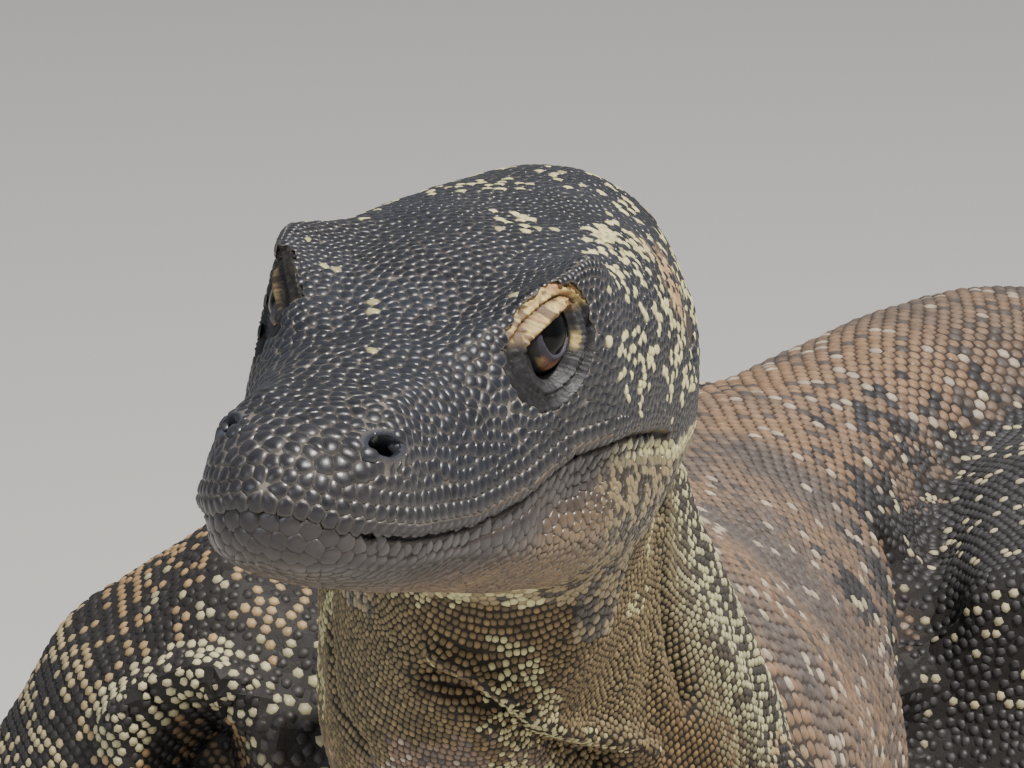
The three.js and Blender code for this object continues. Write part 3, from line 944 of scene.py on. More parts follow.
def paintSkull(place, wobble):
    # the head above the mouth: slate, with cream flecks on the temples and crown
    p, f, out, up = place.points, place.forward, place.out, place.up
    slate = np.clip(cloud(p, 0.02, 21) * 1.4 - 0.5, 0, 1) * 0.6 + 0.25 * wobble
    top = mixTone(tones["headScale"], tones["headPale"], slate)
    top = mixTone(top, tones["snout"], ramp(f, 0.74, 0.95) * ramp(0.16 - up, 0.0, 0.10))
    top = mixTone(top, tones["labial"], ramp(12 - place.aboveMouth, 0, 6) * 0.8)
    rear = ramp(0.41 - f, 0.0, 0.16) * ramp(out, 0.10, 0.17)
    crown = ramp(0.30 - f, 0.0, 0.15) * ramp(up, 0.19, 0.22)
    share = 0.80 * rear * ramp(place.aboveMouth, 2, 10) + 0.40 * crown
    grains = cloud(p, 0.011, 31) * 0.26 + cloud(p, 0.004, 32) * 0.16 + wobble * 0.58
    flecks = (grains > 0.81 - 0.24 * share) & (share > 0.02)
    top = np.where(flecks[:, None], tones["cream"] * (0.72 + 0.35 * wobble[:, None]), top)
    few = (grains > 0.845) & (up > 0.10) & (f < 0.8)
    top = np.where(few[:, None], tones["cream"] * 0.6, top)
    blob = np.exp(-(((f - 0.07) / 0.035)**2 + ((up - 0.16) / 0.04)**2)) * ramp(out, 0.12, 0.18)
    return mixTone(top, tones["tan"], np.clip(blob * 1.5, 0, 1) * (wobble > 0.35))


def paintJaw(place, wobble):
    # the head below the mouth: grey in front, tan below, ochre beads and a cream lip behind
    f, down = place.forward, -place.aboveMouth
    tint = ramp(down, 7, 20) * (0.5 + 0.5 * cloud(place.points, 0.01, 41))
    under = mixTone(tones["jaw"], tones["jawUnder"], tint) * (0.75 + 0.4 * wobble[:, None])
    ochre = np.where((wobble < 0.5)[:, None], tones["throatBead"], tones["throatGroove"] * 1.8)
    pale = lightPatches(place) & (wobble > 0.4)
    ochre = np.where(pale[:, None], tones["throatPale"], ochre)
    under = mixTone(under, ochre, ramp(0.42 - f, 0.0, 0.12) * ramp(down, 3, 8))
    lip = np.clip(ramp(0.36 - f, 0.0, 0.08) * bell(3.6 - down, 2.2) * 1.2, 0, 1)
    return mixTone(under, tones["cream"] * (0.5 + 0.5 * wobble[:, None]), lip * (wobble > 0.3))


def headLines(place, below):
    # the lines between the head's scales, with painted shade in the mouth slit, in the nostrils and on the
    # skin tucked under the lids
    p, f, above = place.points, place.forward, place.aboveMouth
    fine = np.clip(cloud(p, 0.014, 51) * 1.8 - 0.5, 0, 1)
    lines = mixTone(tones["headGroove"], tones["headGroove"] * 0.40, fine)
    dusty = np.clip(cloud(p, 0.016, 52) * 3 - 1.8, 0, 1) * ramp(0.20 - place.up, 0, 0.08)
    lines = mixTone(lines, tones["dust"], dusty)
    edge = bell(above - 0.9, 0.9) * (f > 0.11) * ramp(0.80 - f, 0, 0.2)
    lines = mixTone(lines, tones["lipEdge"], np.clip(edge * 1.4, 0, 1))
    lines = mixTone(lines, tones["jawGroove"], below)
    # painted shade: near black along the mouth's slit
    slit = bell(above + 0.05, 0.75) * (f > mouth["corner"]) * (f < 1.05)
    lines = mixTone(lines, tones["hollow"], np.clip(slit * 1.5, 0, 1))
    hole = nostrilShare(place)
    lines = mixTone(lines, tones["headPale"], 1 - ramp(hole, 1.3, 2.2))
    # painted shade: near black in the nostrils, and on the skin that lies under the lids
    lines = mixTone(lines, tones["hollow"], 1 - ramp(hole, 0.75, 1.05))
    return mixTone(lines, tones["hollow"] * 2, ramp(overLids(p), 0.1, 0.8))


def paintHead(place, wobble, name):
    below = ramp(-place.aboveMouth, 0.0, 1.2)
    return mixTone(paintSkull(place, wobble), paintJaw(place, wobble), below), headLines(place, below)


painters = {"body": paintBody, "neck": paintNeck, "head": paintHead}
bandStep = {"tail": 0.075, "leg": 0.017}  # metres from one pale cross band to the next


def paint(place, wobble):
    # scale colour and groove colour; wobble is a random number from 0 to 1 for each point
    scale, groove = np.zeros((2, len(place.points), 3))
    for name in [*axes, "head"]:
        on = place.isIn(name)
        beads, lines = painters.get(name, paintLeg)(place, wobble, name)
        scale[on], groove[on] = beads[on], lines[on]
    # painted shade: near black on scales and grooves in the thigh's gap, the crease behind the jaw, the
    # crease under the throat's fold and the shoulder's pit
    paintedShade = foldShade(place, -1, 1.5) + 0.5 * foldShade(place, 4) + 0.8 * foldShade(place, 0) + pitShade(place)
    paintedShade = np.clip(paintedShade, 0, 1)
    return mixTone(scale, tones["hollow"] * 1.6, paintedShade * 0.8), mixTone(groove, tones["hollow"], paintedShade * 0.9)


def nostrilShare(place):
    reach, away = nostrilReach(place.forward, place.out, place.up)
    return np.where(away < 10, reach, 99)


# where the scales grow

spacing = {
    # mm between scales: from row to row, and from bead to bead in a row
    "snoutTip": 3.7, "snout": 3.1, "face": 2.65, "overEyes": 1.9,
    "crown": 2.2, "temple": 1.95, "chin": 3.2, "throat": 2.1,
    "neckRow": 2.1, "neckFront": 1.85, "neckBack": 2.9,
    "trunkRow": 5.2, "trunkBead": 4.8, "tailRow": 4.4, "tailBead": 4.0, "tipRow": 3.2, "tipBead": 3.0,
    "legRow": 3.8, "legBead": 3.5, "armRow": 3.0, "armBead": 2.8, "footRow": 2.9, "footBead": 2.8,
}
jitter = {"place": 0.00016, "tone": 0.06, "rise": (0.85, 1.15)}  # metres, share, share
strewn = {"head": 80000, "gaps": 160000}  # random places tried
rays = {"neck": (0.12, 56), "body": (0.16, 56), "leg": (0.100, 36)}  # metres long, number round the axis
closest = {"rows": 0.62, "head": 0.80, "gaps": 0.86}  # nearer than this share of it, a scale is left out


def headSpacing(place):
    f, out, up, down = place.forward, place.out, place.up, -place.aboveMouth
    over = np.exp(-(((f - 0.43) / 0.09)**2 + ((out - 0.15) / 0.05)**2)) * ramp(up, 0.16, 0.20)
    low = ramp(down, 0, 3)
    shares = {
        "snout": ramp(f, 0.56, 0.72),
        "snoutTip": ramp(f, 0.84, 0.95),
        "overEyes": np.clip(over * 1.4, 0, 1),
        "crown": ramp(0.30 - f, 0, 0.1) * ramp(up, 0.15, 0.2),
        "temple": ramp(0.42 - f, 0, 0.1) * ramp(out, 0.15, 0.19),
        "chin": low,
        "throat": low * np.maximum(ramp(down, 12, 20), ramp(0.45 - f, 0, 0.1)),
    }
    size = np.full(len(f), spacing["face"])
    for part, share in shares.items():
        size = size + (spacing[part] - size) * share
    return size


def nearForelegs(place, low, high):
    # from 1 on the shoulders to 0 away from them
    off = np.min([place.along[name][2] for name in ("foreLeft", "foreRight")], axis=0)
    return 1 - ramp(off + 0.05 * (cloud(place.points, 0.02, 6) - 0.5), low, high)


limbPlaces = [0.16, 0.28]  # metres along a limb: the scales shrink to the foot's in between


def limbKind(name):
    return "arm" if name.startswith("fore") else "leg"


def alongPart(places, *steps):
    # a step that changes at places along a part, the same all round it
    return lambda s, angle=0: np.interp(s, places, [spacing[step] for step in steps]) + 0 * angle


def neckBead(s, angle):
    # wide on the nape, close on the throat
    front = ramp(-np.cos(angle), -0.4, 0.3)
    return spacing["neckBack"] + (spacing["neckFront"] - spacing["neckBack"]) * front


def bodySpacing(place):
    size = np.full(len(place.points), spacing["trunkBead"])
    trunk = alongPart([0.7, 1.0, 1.8], "trunkBead", "tailBead", "tipBead")(place.along["body"][0])
    trunk = trunk + (spacing["legBead"] - trunk) * nearForelegs(place, 0.06, 0.10)
    size = np.where(place.isIn("body"), trunk, size)
    for name in legNames:
        leg = alongPart(limbPlaces, limbKind(name) + "Bead", "footBead")(place.along[name][0])
        size = np.where(place.isIn(name), leg, size)
    return np.where(place.isIn("neck"), neckBead(0, place.along["neck"][1]), size)


def sizeAt(place):
    return np.where(place.isIn("head"), headSpacing(place), bodySpacing(place))


def ringsOf(name, start, end, rowStep, beadStep, reach, samples):
    # scales in rows round an axis: every other row is shifted by half a scale
    # distances in metres; a ring is measured by rays of length reach
    axis = axes[name]
    found = []
    s, row = start, 0
    while s < end:
        k = np.interp(s, axis.run, np.arange(len(axis.run)))
        low = min(int(k), len(axis.run) - 2)
        t = k - low
        centre = axis.line[low] * (1 - t) + axis.line[low + 1] * t
        left = unit(axis.left[low] * (1 - t) + axis.left[low + 1] * t)
        back = unit(axis.back[low] * (1 - t) + axis.back[low + 1] * t)
        turnBy = np.linspace(0, 2 * math.pi, samples + 1)
        ways = left * np.sin(turnBy)[:, None] + back * np.cos(turnBy)[:, None]
        far = np.empty(samples + 1)
        for i in range(samples):
            spot = hide.tree.ray_cast(centre.tolist(), ways[i].tolist(), reach)[0]
            far[i] = (spot - Vector(centre)).length if spot is not None else reach
        far[samples] = far[0]
        ring = centre + ways * far[:, None]
        steps = np.linalg.norm(np.diff(ring, axis=0), axis=1)
        steps = np.minimum(steps, 3 * np.median(steps))
        middle = (turnBy[1:] + turnBy[:-1]) / 2
        weight = steps / (beadStep(s, middle) * mm)
        run = np.concatenate([[0], np.cumsum(weight)])
        many = max(4, int(round(run[-1])))
        wanted = (np.arange(many) + 0.5 * (row % 2)) * run[-1] / many
        angle = np.interp(wanted, run, turnBy)
        distance = np.interp(angle, turnBy, far)
        keep = distance < reach * 0.98
        ways = left * np.sin(angle)[:, None] + back * np.cos(angle)[:, None]
        found.append((centre + ways * distance[:, None])[keep])
        s += rowStep(s) * mm
        row += 1
    return np.vstack(found)


def treeOf(points):
    tree = KDTree(len(points))
    for i, point in enumerate(points.tolist()):
        tree.insert(point, i)
    tree.balance()
    return tree


def thin(points, size, share):
    # drops the later of two places that are closer than a share of their size
    tree = treeOf(points)
    alive = np.ones(len(points), bool)
    for i, point in enumerate(points.tolist()):
        if alive[i]:
            for _, j, _ in tree.find_range(point, share * size[i] * mm):
                if j > i:
                    alive[j] = False
    return alive


def farFrom(seeds, points, limit):
    tree = treeOf(seeds)
    gap = np.array([tree.find(point)[2] for point in points.tolist()])
    return gap > limit * mm


def alongMouth(height, step, first=0.0):
    # a row of places at a height above the mouth line, from one mouth corner round the snout to the other
    rays = [(0.80, a) for a in np.linspace(0, 90, 40)] + [(f, 90) for f in np.linspace(0.79, 0.14, 90)]
    line = []
    for origin, degrees in rays:
        up, spot = mouthHeight(min(origin + 0.1, 1.0)) + height * mm / head["length"], None
        way = headWay(math.cos(math.radians(degrees)), math.sin(math.radians(degrees)), 0)
        for _ in range(4):
            spot = hide.tree.ray_cast(fromHead(origin, 0, up).tolist(), way.tolist(), 0.08)[0]
            if spot is None:
                break
            forward, _, _ = toHead(np.array([spot]))
            up = float(mouthHeight(forward)[0]) + height * mm / head["length"]
        if spot is not None:
            line.append(spot)
    line = np.array(line)
    one = evenly(line, runOf(line) / mm, first, step)
    f, l, u = toHead(one)
    other = fromHead(f, -l, u)
    return np.vstack([one, other[l > 0.5 * step * mm / head["length"]]])


headRows = {
    "lips": [(1.9, 3.5), (5.3, 3.6, 1.8), (8.8, 3.4), (-2.6, 4.6), (-6.4, 4.2, 2.1)],  # as in alongMouth
    "brow": [(0.004, 0.0), (0.012, -0.008)], "browStep": 1.75,  # head lengths out and up, mm between scales
    "roundNostril": 12, "nostrilLong": 1.42, "nostrilHigh": 2.0,  # scales, times as long, mm higher
}


def fixedHeadSeeds():
    # rows along the lips and the brows, and a ring round each nostril
    rows = [alongMouth(*row) for row in headRows["lips"]]
    lift = unit(np.array(brow["way"])) * np.array(brow["rise"])[:, None] * 0.65 * mm / head["length"]
    rim = catmull(np.array(brow["line"]) + lift, 14)
    for outward, upward in headRows["brow"]:
        line = rim + np.array([0, outward, upward])
        f, l, u = evenly(line, runOf(line) * head["length"] / mm, 0, headRows["browStep"]).T
        rows += [fromHead(f, l, u), fromHead(f, -l, u)]
    run, across, _ = nostrilWays()
    for turned in np.linspace(0, 2 * math.pi, headRows["roundNostril"], endpoint=False):
        arm = run * math.cos(turned) * nostril["long"] * headRows["nostrilLong"]
        arm = arm + across * math.sin(turned) * (nostril["high"] + headRows["nostrilHigh"])
        f, l, u = np.array(nostril["place"]) + arm * mm / head["length"]
        rows += [fromHead(f, l, u)[None], fromHead(f, -l, u)[None]]
    places, _ = hide.settle(np.vstack(rows))
    return places


def headSeeds():
    fixed = fixedHeadSeeds()
    fixed = fixed[thin(fixed, headSpacing(Place(fixed)), closest["rows"])]

    def dense(points):
        near = Place(points)
        return np.where(near.isIn("head"), 1 / headSpacing(near)**2, 0)

    cloudOf, _ = hide.sprinkle(strewn["head"], dense)
    size = headSpacing(Place(cloudOf))
    far = farFrom(fixed, cloudOf, closest["head"] * size)
    chosen = cloudOf[far]
    chosen = chosen[thin(chosen, size[far], closest["head"])]
    for _ in range(4):  # each scale moves to the middle of the places nearest to it
        everyone = np.vstack([fixed, chosen])
        tree = treeOf(everyone)
        owner = np.array([tree.find(point)[1] for point in cloudOf.tolist()])
        count = np.maximum(np.bincount(owner, minlength=len(everyone)), 1)
        sums = [np.bincount(owner, cloudOf[:, k], len(everyone)) for k in range(3)]
        middle = np.stack(sums, axis=1) / count[:, None]
        empty = np.bincount(owner, minlength=len(everyone)) == 0
        middle[empty] = everyone[empty]
        chosen = middle[len(fixed):]
    places, _ = hide.settle(np.vstack([fixed, chosen]))
    return places


def bodySeeds():
    neckEnd, bodyEnd = axes["neck"].run[-1], axes["body"].run[-1] - 0.002
    tailPlaces = [0.6, 1.0, 1.8]
    trunkRow = alongPart(tailPlaces, "trunkRow", "tailRow", "tipRow")
    trunkBead = alongPart(tailPlaces, "trunkBead", "tailBead", "tipBead")
    rows = {
        "neck": ringsOf("neck", 0.0, neckEnd, lambda s: spacing["neckRow"], neckBead, *rays["neck"]),
        "body": ringsOf("body", 0.01, bodyEnd, trunkRow, trunkBead, *rays["body"]),
    }
    for name in legNames:
        limbRow = alongPart(limbPlaces, limbKind(name) + "Row", "footRow")
        limbBead = alongPart(limbPlaces, limbKind(name) + "Bead", "footBead")
        rows[name] = ringsOf(name, 0.0, axes[name].run[-1], limbRow, limbBead, *rays["leg"])
    points = np.vstack([row[Place(row).isIn(name)] for name, row in rows.items()])
    points = points + dice.normal(0, jitter["place"], points.shape)
    return points[thin(points, bodySpacing(Place(points)), closest["rows"])]


def fillGaps(seeds):
    def dense(points):
        near = Place(points)
        return 1 / np.where(near.isIn("head"), 99.0, bodySpacing(near))**2

    spare, _ = hide.sprinkle(strewn["gaps"], dense)
    size = sizeAt(Place(spare))
    far = farFrom(seeds, spare, closest["gaps"] * size)
    spare, size = spare[far], size[far]
    return np.vstack([seeds, spare[thin(spare, size, closest["gaps"])]])


print("growing scales")
seeds = fillGaps(np.vstack([headSeeds(), bodySeeds()]))
seeds, seedNormals = hide.settle(seeds)
seedPlace = Place(seeds)
seedSize = sizeAt(seedPlace)
bare = overLids(seeds) > 0.7
bare |= nostrilShare(seedPlace) < 1.02
bare |= (np.abs(seedPlace.aboveMouth) < 1.05) & (seedPlace.forward > mouth["corner"]) & seedPlace.isIn("head")
print("scales:", len(seeds))

# the scales themselves

domes = {
    # sides of a scale, its rings as shares of its radius, their heights as shares of its own,
    # its height as a share of its radius, how much of its cell it fills, how closely it keeps
    # to the cell's corners, and how much of its own colour it shows from the middle outwards
    "head": {"sides": 10, "rings": [0.66, 0.94, 1.0], "heights": [0.88, 0.28, -0.06], "rise": 0.30,
             "fill": 1.12, "corners": 20, "shades": [1.0, 1.0, 0.45, 0.0], "finish": "headScales"},
    "neck": {"sides": 8, "rings": [0.76, 1.0], "heights": [0.62, -0.10], "rise": 0.46,
             "fill": 1.0, "corners": 8, "shades": [1.0, 0.85, 0.25], "finish": "neckScales"},
    "body": {"sides": 6, "rings": [0.76, 1.0], "heights": [0.62, -0.10], "rise": 0.36,
             "fill": 1.0, "corners": 8, "shades": [1.0, 0.85, 0.3], "finish": "bodyScales"},
}
cells = {
    "neighbours": 12,             # scales looked at round each one for its outline
    "round": 0.85, "most": 0.80,  # shares of the spacing at which the outline is rounded and cut off
    "curve": 60,                  # the most it bends with the skin, per metre
    "skirt": 0.9,                 # how deep the outer ring goes, against the mean radius
    "floor": 0.0002,              # lowest a scale may lie, in metres
    "patch": 0.0015,              # radius of a scale's patch in its piece's chart
}
jawScales = {"flatter": 0.55, "wider": 0.05}


def paintPoints(mesh, colours):
    layer = mesh.color_attributes.new("tone", "FLOAT_COLOR", "POINT")
    full = np.ones((len(colours), 4), np.float32)
    full[:, :3] = np.clip(colours, 0.001, 1)
    layer.data.foreach_set("color", full.ravel())


def nearestTo(seeds):
    # the numbers of the scales round each scale
    tree = treeOf(seeds)
    near = np.zeros((len(seeds), cells["neighbours"]), int)
    for i, point in enumerate(seeds.tolist()):
        row = [j for _, j, _ in tree.find_n(point, cells["neighbours"] + 1)][1:]
        near[i, :len(row)] = row
    return near


def cellOf(chosen, plan, ways):
    # how far each scale reaches along its ways, and how the skin curves away there
    size, near = seedSize[chosen] * mm, nearest[chosen]
    arms = seeds[near] - seeds[chosen][:, None, :]
    normals = seedNormals[chosen][:, None, :]
    lift = (arms * normals).sum(2)
    flat = arms - normals * lift[:, :, None]
    length = np.maximum(np.linalg.norm(flat, axis=2), 1e-6)
    share = size[:, None] / (size[:, None] + seedSize[near] * mm)
    facing = np.einsum("nkc,nsc->nsk", flat, ways) / length[:, None, :]
    wall = share[:, None, :] * length[:, None, :] / np.maximum(facing, 0.05)
    wall = np.where(facing > 0.05, wall, 1.0)
    power = plan["corners"]
    radius = (wall**-power + (cells["round"] * size)[:, None, None]**-power).sum(2)**(-1 / power)
    radius = np.minimum(radius, cells["most"] * size[:, None])
    radius = radius * plan["fill"] * scaleFill[chosen][:, None]
    bend = np.maximum(facing, 0)**3
    curve = (bend * (lift / length**2)[:, None, :]).sum(2) / np.maximum(bend.sum(2), 1e-3)
    return radius, np.clip(curve, -cells["curve"], cells["curve"])


def fanFaces(sides, rings):
    # triangles from a middle point out through the rings
    step = np.arange(sides)
    after = (step + 1) % sides
    faces = [np.stack([np.zeros(sides, int), 1 + step, 1 + after], axis=1)]
    for k in range(rings - 1):
        a, b = 1 + k * sides, 1 + (k + 1) * sides
        faces.append(np.stack([a + step, b + step, b + after], axis=1))
        faces.append(np.stack([a + step, b + after, a + after], axis=1))
    return np.vstack(faces)


def domeMesh(name, chosen, kind):
    plan = domes[kind]
    sides, rings = plan["sides"], plan["rings"]
    p, n = seeds[chosen], seedNormals[chosen]
    e1 = seedWay[chosen]
    e1 = unit(e1 - n * (e1 * n).sum(1)[:, None])
    e2 = np.cross(n, e1)
    angles = np.arange(sides) * 2 * math.pi / sides
    ways = e1[:, None, :] * np.cos(angles)[None, :, None] + e2[:, None, :] * np.sin(angles)[None, :, None]
    radius, curve = cellOf(chosen, plan, ways)
    mean = radius.mean(1)
    high = plan["rise"] * mean * scaleRise[chosen]
    layers = [(p + n * high[:, None])[:, None, :]]
    for ring, height in zip(rings, plan["heights"]):
        r = radius * ring
        rise = curve * r * r + (high if height > 0 else mean * cells["skirt"])[:, None] * height
        layers.append(p[:, None, :] + ways * r[:, :, None] + n[:, None, :] * rise[:, :, None])
    points = np.concatenate(layers, axis=1)
    points[:, :, 2] = np.maximum(points[:, :, 2], cells["floor"])
    starts = np.arange(len(p)) * points.shape[1]
    corners = (fanFaces(sides, len(rings))[None] + starts[:, None, None]).reshape(-1, 3)
    mesh = meshOf(name, points.reshape(-1, 3), corners)
    shade = np.concatenate([[1.0], np.repeat(plan["shades"][1:], sides)])[None, :, None]
    colours = scaleTone[chosen][:, None, :] * shade + grooveTone[chosen][:, None, :] * (1 - shade)
    paintPoints(mesh, colours.reshape(-1, 3))

    # each scale is a small patch at its root's place on the unrolled skin
    root = unrolled[chosen]
    low, high = root.min(0), root.max(0)
    root = 0.01 + 0.98 * (root - low) / np.maximum(high - low, 1e-6)
    spread = np.concatenate([[0.0], np.repeat(rings, sides)])
    turned = np.concatenate([[0.0], np.tile(angles, len(rings))])
    patch = cells["patch"] * spread[:, None] * np.stack([np.cos(turned), np.sin(turned)], axis=1)
    uv = (root[:, None, :] + patch[None]).reshape(-1, 2)
    chart = mesh.uv_layers.new(name="OFBake")
    chart.data.foreach_set("uv", uv[corners.ravel()].astype(np.float32).ravel())
    return mesh


def unrollPlaces():
    # distance along the part's axis, and angle round it
    flat = np.zeros((len(seeds), 2))
    for name in axes:
        on = seedPlace.isIn(name)
        along, angle, _ = seedPlace.along[name]
        flat[on] = np.stack([along, angle], axis=1)[on]
    skull = seedPlace.isIn("head")
    around = np.arctan2(seedPlace.left, seedPlace.up - 0.04)
    flat[skull] = np.stack([seedPlace.forward, around], axis=1)[skull]
    return flat


def wayPlaces():
    # which way each scale's long side lies: along the part it grows on
    way = np.tile(headWay(-1, 0, 0), (len(seeds), 1))
    for name, axis in axes.items():
        on = np.flatnonzero(seedPlace.isIn(name))
        along = seedPlace.along[name][0][on]
        k = np.clip(np.searchsorted(axis.run, along), 0, len(axis.run) - 1)
        way[on] = axis.way[k]
    return way


wobble = dice.random(len(seeds))
scaleTone, grooveTone = paint(Place(seeds, 0.5), wobble)
scaleTone = scaleTone * dice.normal(1.0, jitter["tone"], (len(seeds), 1))
scaleTone = np.clip(scaleTone, 0.002, 1)
unrolled = unrollPlaces()
seedWay = wayPlaces()
nearest = nearestTo(seeds)
belowMouth = -seedPlace.aboveMouth
onJaw = ramp(belowMouth, 0.5, 2) * (1 - ramp(belowMouth, 9, 16)) * seedPlace.isIn("head")
onJaw = onJaw * ramp(seedPlace.forward, 0.40, 0.50)
scaleRise = (1 - jawScales["flatter"] * onJaw) * dice.uniform(*jitter["rise"], len(seeds))
scaleFill = 1 + jawScales["wider"] * onJaw
pieceLimit = 190000  # triangles in one piece

coats = [
    # pieces, kind of dome, slot, and the part they grow on
    ("head_scales", "head", "head_hide", "head"),
    ("neck_scales", "neck", "throat", "neck"),
    ("body_scales", "body", "hide", "body"),
    ("fore_left_scales", "body", "hide", "foreLeft"),
    ("fore_right_scales", "body", "hide", "foreRight"),
    ("hind_left_scales", "body", "hide", "hindLeft"),
    ("hind_right_scales", "body", "hide", "hindRight"),
]

# finishes


def nodeTool(material):
    tree = material.node_tree

    def add(kind, links=None, **values):
        node = tree.nodes.new(kind)
        for key, value in values.items():
            setattr(node, key, value)
        for socket, source in (links or {}).items():
            if isinstance(source, bpy.types.NodeSocket):
                tree.links.new(source, node.inputs[socket])
            else:
                node.inputs[socket].default_value = source
        return node

    return tree, add


def hideFinish(name, plan):
    # painted colour, mottled, with fine grain in the gloss and the surface
    material = bpy.data.materials.new(name)
    material.use_nodes = True
    tree, add = nodeTool(material)
    shader = tree.nodes["Principled BSDF"]
    colour = add("ShaderNodeVertexColor", layer_name="tone")
    where = add("ShaderNodeTexCoord").outputs["Object"]
    mottle = add("ShaderNodeTexNoise", {"Vector": where, "Scale": plan["mottleScale"], "Detail": 4.0})

    def mottled(low, high):
        mapped = add("ShaderNodeMapRange", {"Value": mottle.outputs["Fac"], "From Min": 0.3, "From Max": 0.7,
                                            "To Min": low, "To Max": high})
        return mapped.outputs["Result"]

    light = mottled(1 - plan["mottle"], 1 + plan["mottle"])
    mixed = add("ShaderNodeVectorMath", {0: colour.outputs["Color"], "Scale": light}, operation="SCALE")
    grain = add("ShaderNodeTexNoise", {"Vector": where, "Scale": plan["grainScale"], "Detail": 3.0})
    bump = add("ShaderNodeBump", {"Height": grain.outputs["Fac"], "Strength": plan["bump"],
                                  "Distance": plan["bumpDepth"]})
    tree.links.new(mixed.outputs["Vector"], shader.inputs["Base Color"])
    tree.links.new(mottled(*plan["roughness"]), shader.inputs["Roughness"])
    tree.links.new(bump.outputs["Normal"], shader.inputs["Normal"])
    shader.inputs["Specular IOR Level"].default_value = plan.get("specular", 0.5)
    shader.inputs["Coat Weight"].default_value = plan.get("coat", 0.0)
    shader.inputs["Coat Roughness"].default_value = plan.get("coatRoughness", 0.1)
    return material


finishes = {
    "headScales": hideFinish("glossy head scales", {
        "mottleScale": 420, "mottle": 0.22, "grainScale": 2600, "roughness": (0.28, 0.46),
        "bump": 0.25, "bumpDepth": 0.00012, "specular": 0.6}),
    "neckScales": hideFinish("throat beads", {
        "mottleScale": 500, "mottle": 0.25, "grainScale": 2400, "roughness": (0.45, 0.7),
        "bump": 0.3, "bumpDepth": 0.00012, "specular": 0.4}),
    "bodyScales": hideFinish("body beads", {
        "mottleScale": 350, "mottle": 0.25, "grainScale": 1800, "roughness": (0.42, 0.66),
        "bump": 0.35, "bumpDepth": 0.0002, "specular": 0.45}),
    "hide": hideFinish("wrinkled hide", {
        "mottleScale": 260, "mottle": 0.3, "grainScale": 1500, "roughness": (0.55, 0.8),
        "bump": 0.6, "bumpDepth": 0.0003, "specular": 0.35}),
    "lid": hideFinish("eyelid skin", {
        "mottleScale": 600, "mottle": 0.3, "grainScale": 2600, "roughness": (0.45, 0.65),
        "bump": 0.6, "bumpDepth": 0.0002, "specular": 0.4}),
    "eye": hideFinish("wet eye", {
        "mottleScale": 300, "mottle": 0.2, "grainScale": 900, "roughness": (0.12, 0.16),
        "bump": 0.02, "bumpDepth": 0.00005, "specular": 0.12, "coat": 0.10, "coatRoughness": 0.03}),
    "claw": hideFinish("horn claw", {
        "mottleScale": 200, "mottle": 0.3, "grainScale": 900, "roughness": (0.28, 0.5),
        "bump": 0.3, "bumpDepth": 0.0002, "specular": 0.5}),
}


def finishPiece(piece, finish, slot, *replaced):
    piece.data.materials.append(finishes[finish])
    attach(piece, "root")
    if replaced:
        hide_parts(*replaced)


def growCoats():
    total = 0
    for name, kind, slot, part in coats:
        plan = domes[kind]
        each = plan["sides"] * (2 * len(plan["rings"]) - 1)
        chosen = np.flatnonzero(seedPlace.isIn(part) & ~bare)
        chosen = chosen[np.argsort(unrolled[chosen, 0], kind="stable")]
        parts = max(1, math.ceil(len(chosen) * each / pieceLimit))
        for number, some in enumerate(np.array_split(chosen, parts)):
            label = f"{name}_{number + 1}"
            piece = shown(label, domeMesh(label, some, kind))
            finishPiece(piece, plan["finish"], slot)
            total += len(piece.data.polygons)
    print("coat:", total, "triangles")


growCoats()

skin = shown("skin", skinMesh)
skinPlace = Place(hide.points, 0.5)
_, skinTone = paint(skinPlace, np.full(len(hide.points), 0.5))
paintPoints(skin.data, skinTone)
finishPiece(skin, "hide", "hide", *fleshNames)
print("skin painted")

# eyes and lids

gaze = unit(np.array([0.24, 0.94, 0.26]))
lidTones = {
    "cream": tone(198, 174, 112), "pink": tone(168, 132, 88), "spot": tone(84, 58, 38),
    "grey": tone(58, 57, 60), "dark": tone(24, 23, 25),
    "orange": tone(112, 74, 46), "violet": tone(62, 58, 70),
}
eyeTones = {
    "pupil": tone(4, 4, 6), "iris": tone(11, 9, 9),
    "rim": tone(60, 56, 68), "white": tone(20, 16, 16),
}
# mm from the pupil's middle where each starts and is full, and how strongly it shows
eyeBands = [("iris", 2.6, 3.0, 1.0), ("rim", 5.6, 6.0, 0.8), ("white", 6.2, 6.8, 1.0)]


def gridMesh(name, rows, closed=True):
    # a net of points (rings, around, 3) as a mesh
    rings, around, _ = rows.shape
    index = np.arange(rings * around).reshape(rings, around)
    follow = np.roll(index, -1, axis=1)
    a, b, c, d = index[:-1], index[1:], follow[1:], follow[:-1]
    quads = np.stack([a, b, c, d], axis=-1)
    if not closed:
        quads = quads[:, :-1]
    return meshOf(name, rows.reshape(-1, 3), quads.reshape(-1, 4))


def faceOut(mesh, side):
    if side < 0:
        mesh.flip_normals()


def makeEyeball(side, label, node):
    rings, around = 60, 72
    up = unit(np.array([0, 0, 1.0]) - gaze * gaze[2])
    front = np.cross(up, gaze)
    polar = np.linspace(0.0, math.pi, rings)[:, None]
    turnBy = np.linspace(0, 2 * math.pi, around, endpoint=False)[None, :]
    bulge = eye["bulge"] * (1 - ramp(polar * eye["radius"], eye["bulgeFrom"], eye["bulgeTo"]))
    r = eye["radius"] + bulge
    aside = front * np.cos(turnBy)[..., None] + up * np.sin(turnBy)[..., None]
    way = gaze * np.cos(polar)[..., None] + aside * np.sin(polar)[..., None]
    net = way * r[..., None]
    points = eyePoint(side, net[..., 0], net[..., 1], net[..., 2])
    mesh = gridMesh(label, points)
    faceOut(mesh, side)
    reach = np.broadcast_to(polar * eye["radius"], (rings, around)).ravel()
    colour = eyeTones["pupil"]
    for name, start, full, share in eyeBands:
        colour = mixTone(colour, eyeTones[name], ramp(reach, start, full) * share)
    paintPoints(mesh, colour)
    finishPiece(shown(label, mesh), "eye", "eye", node)


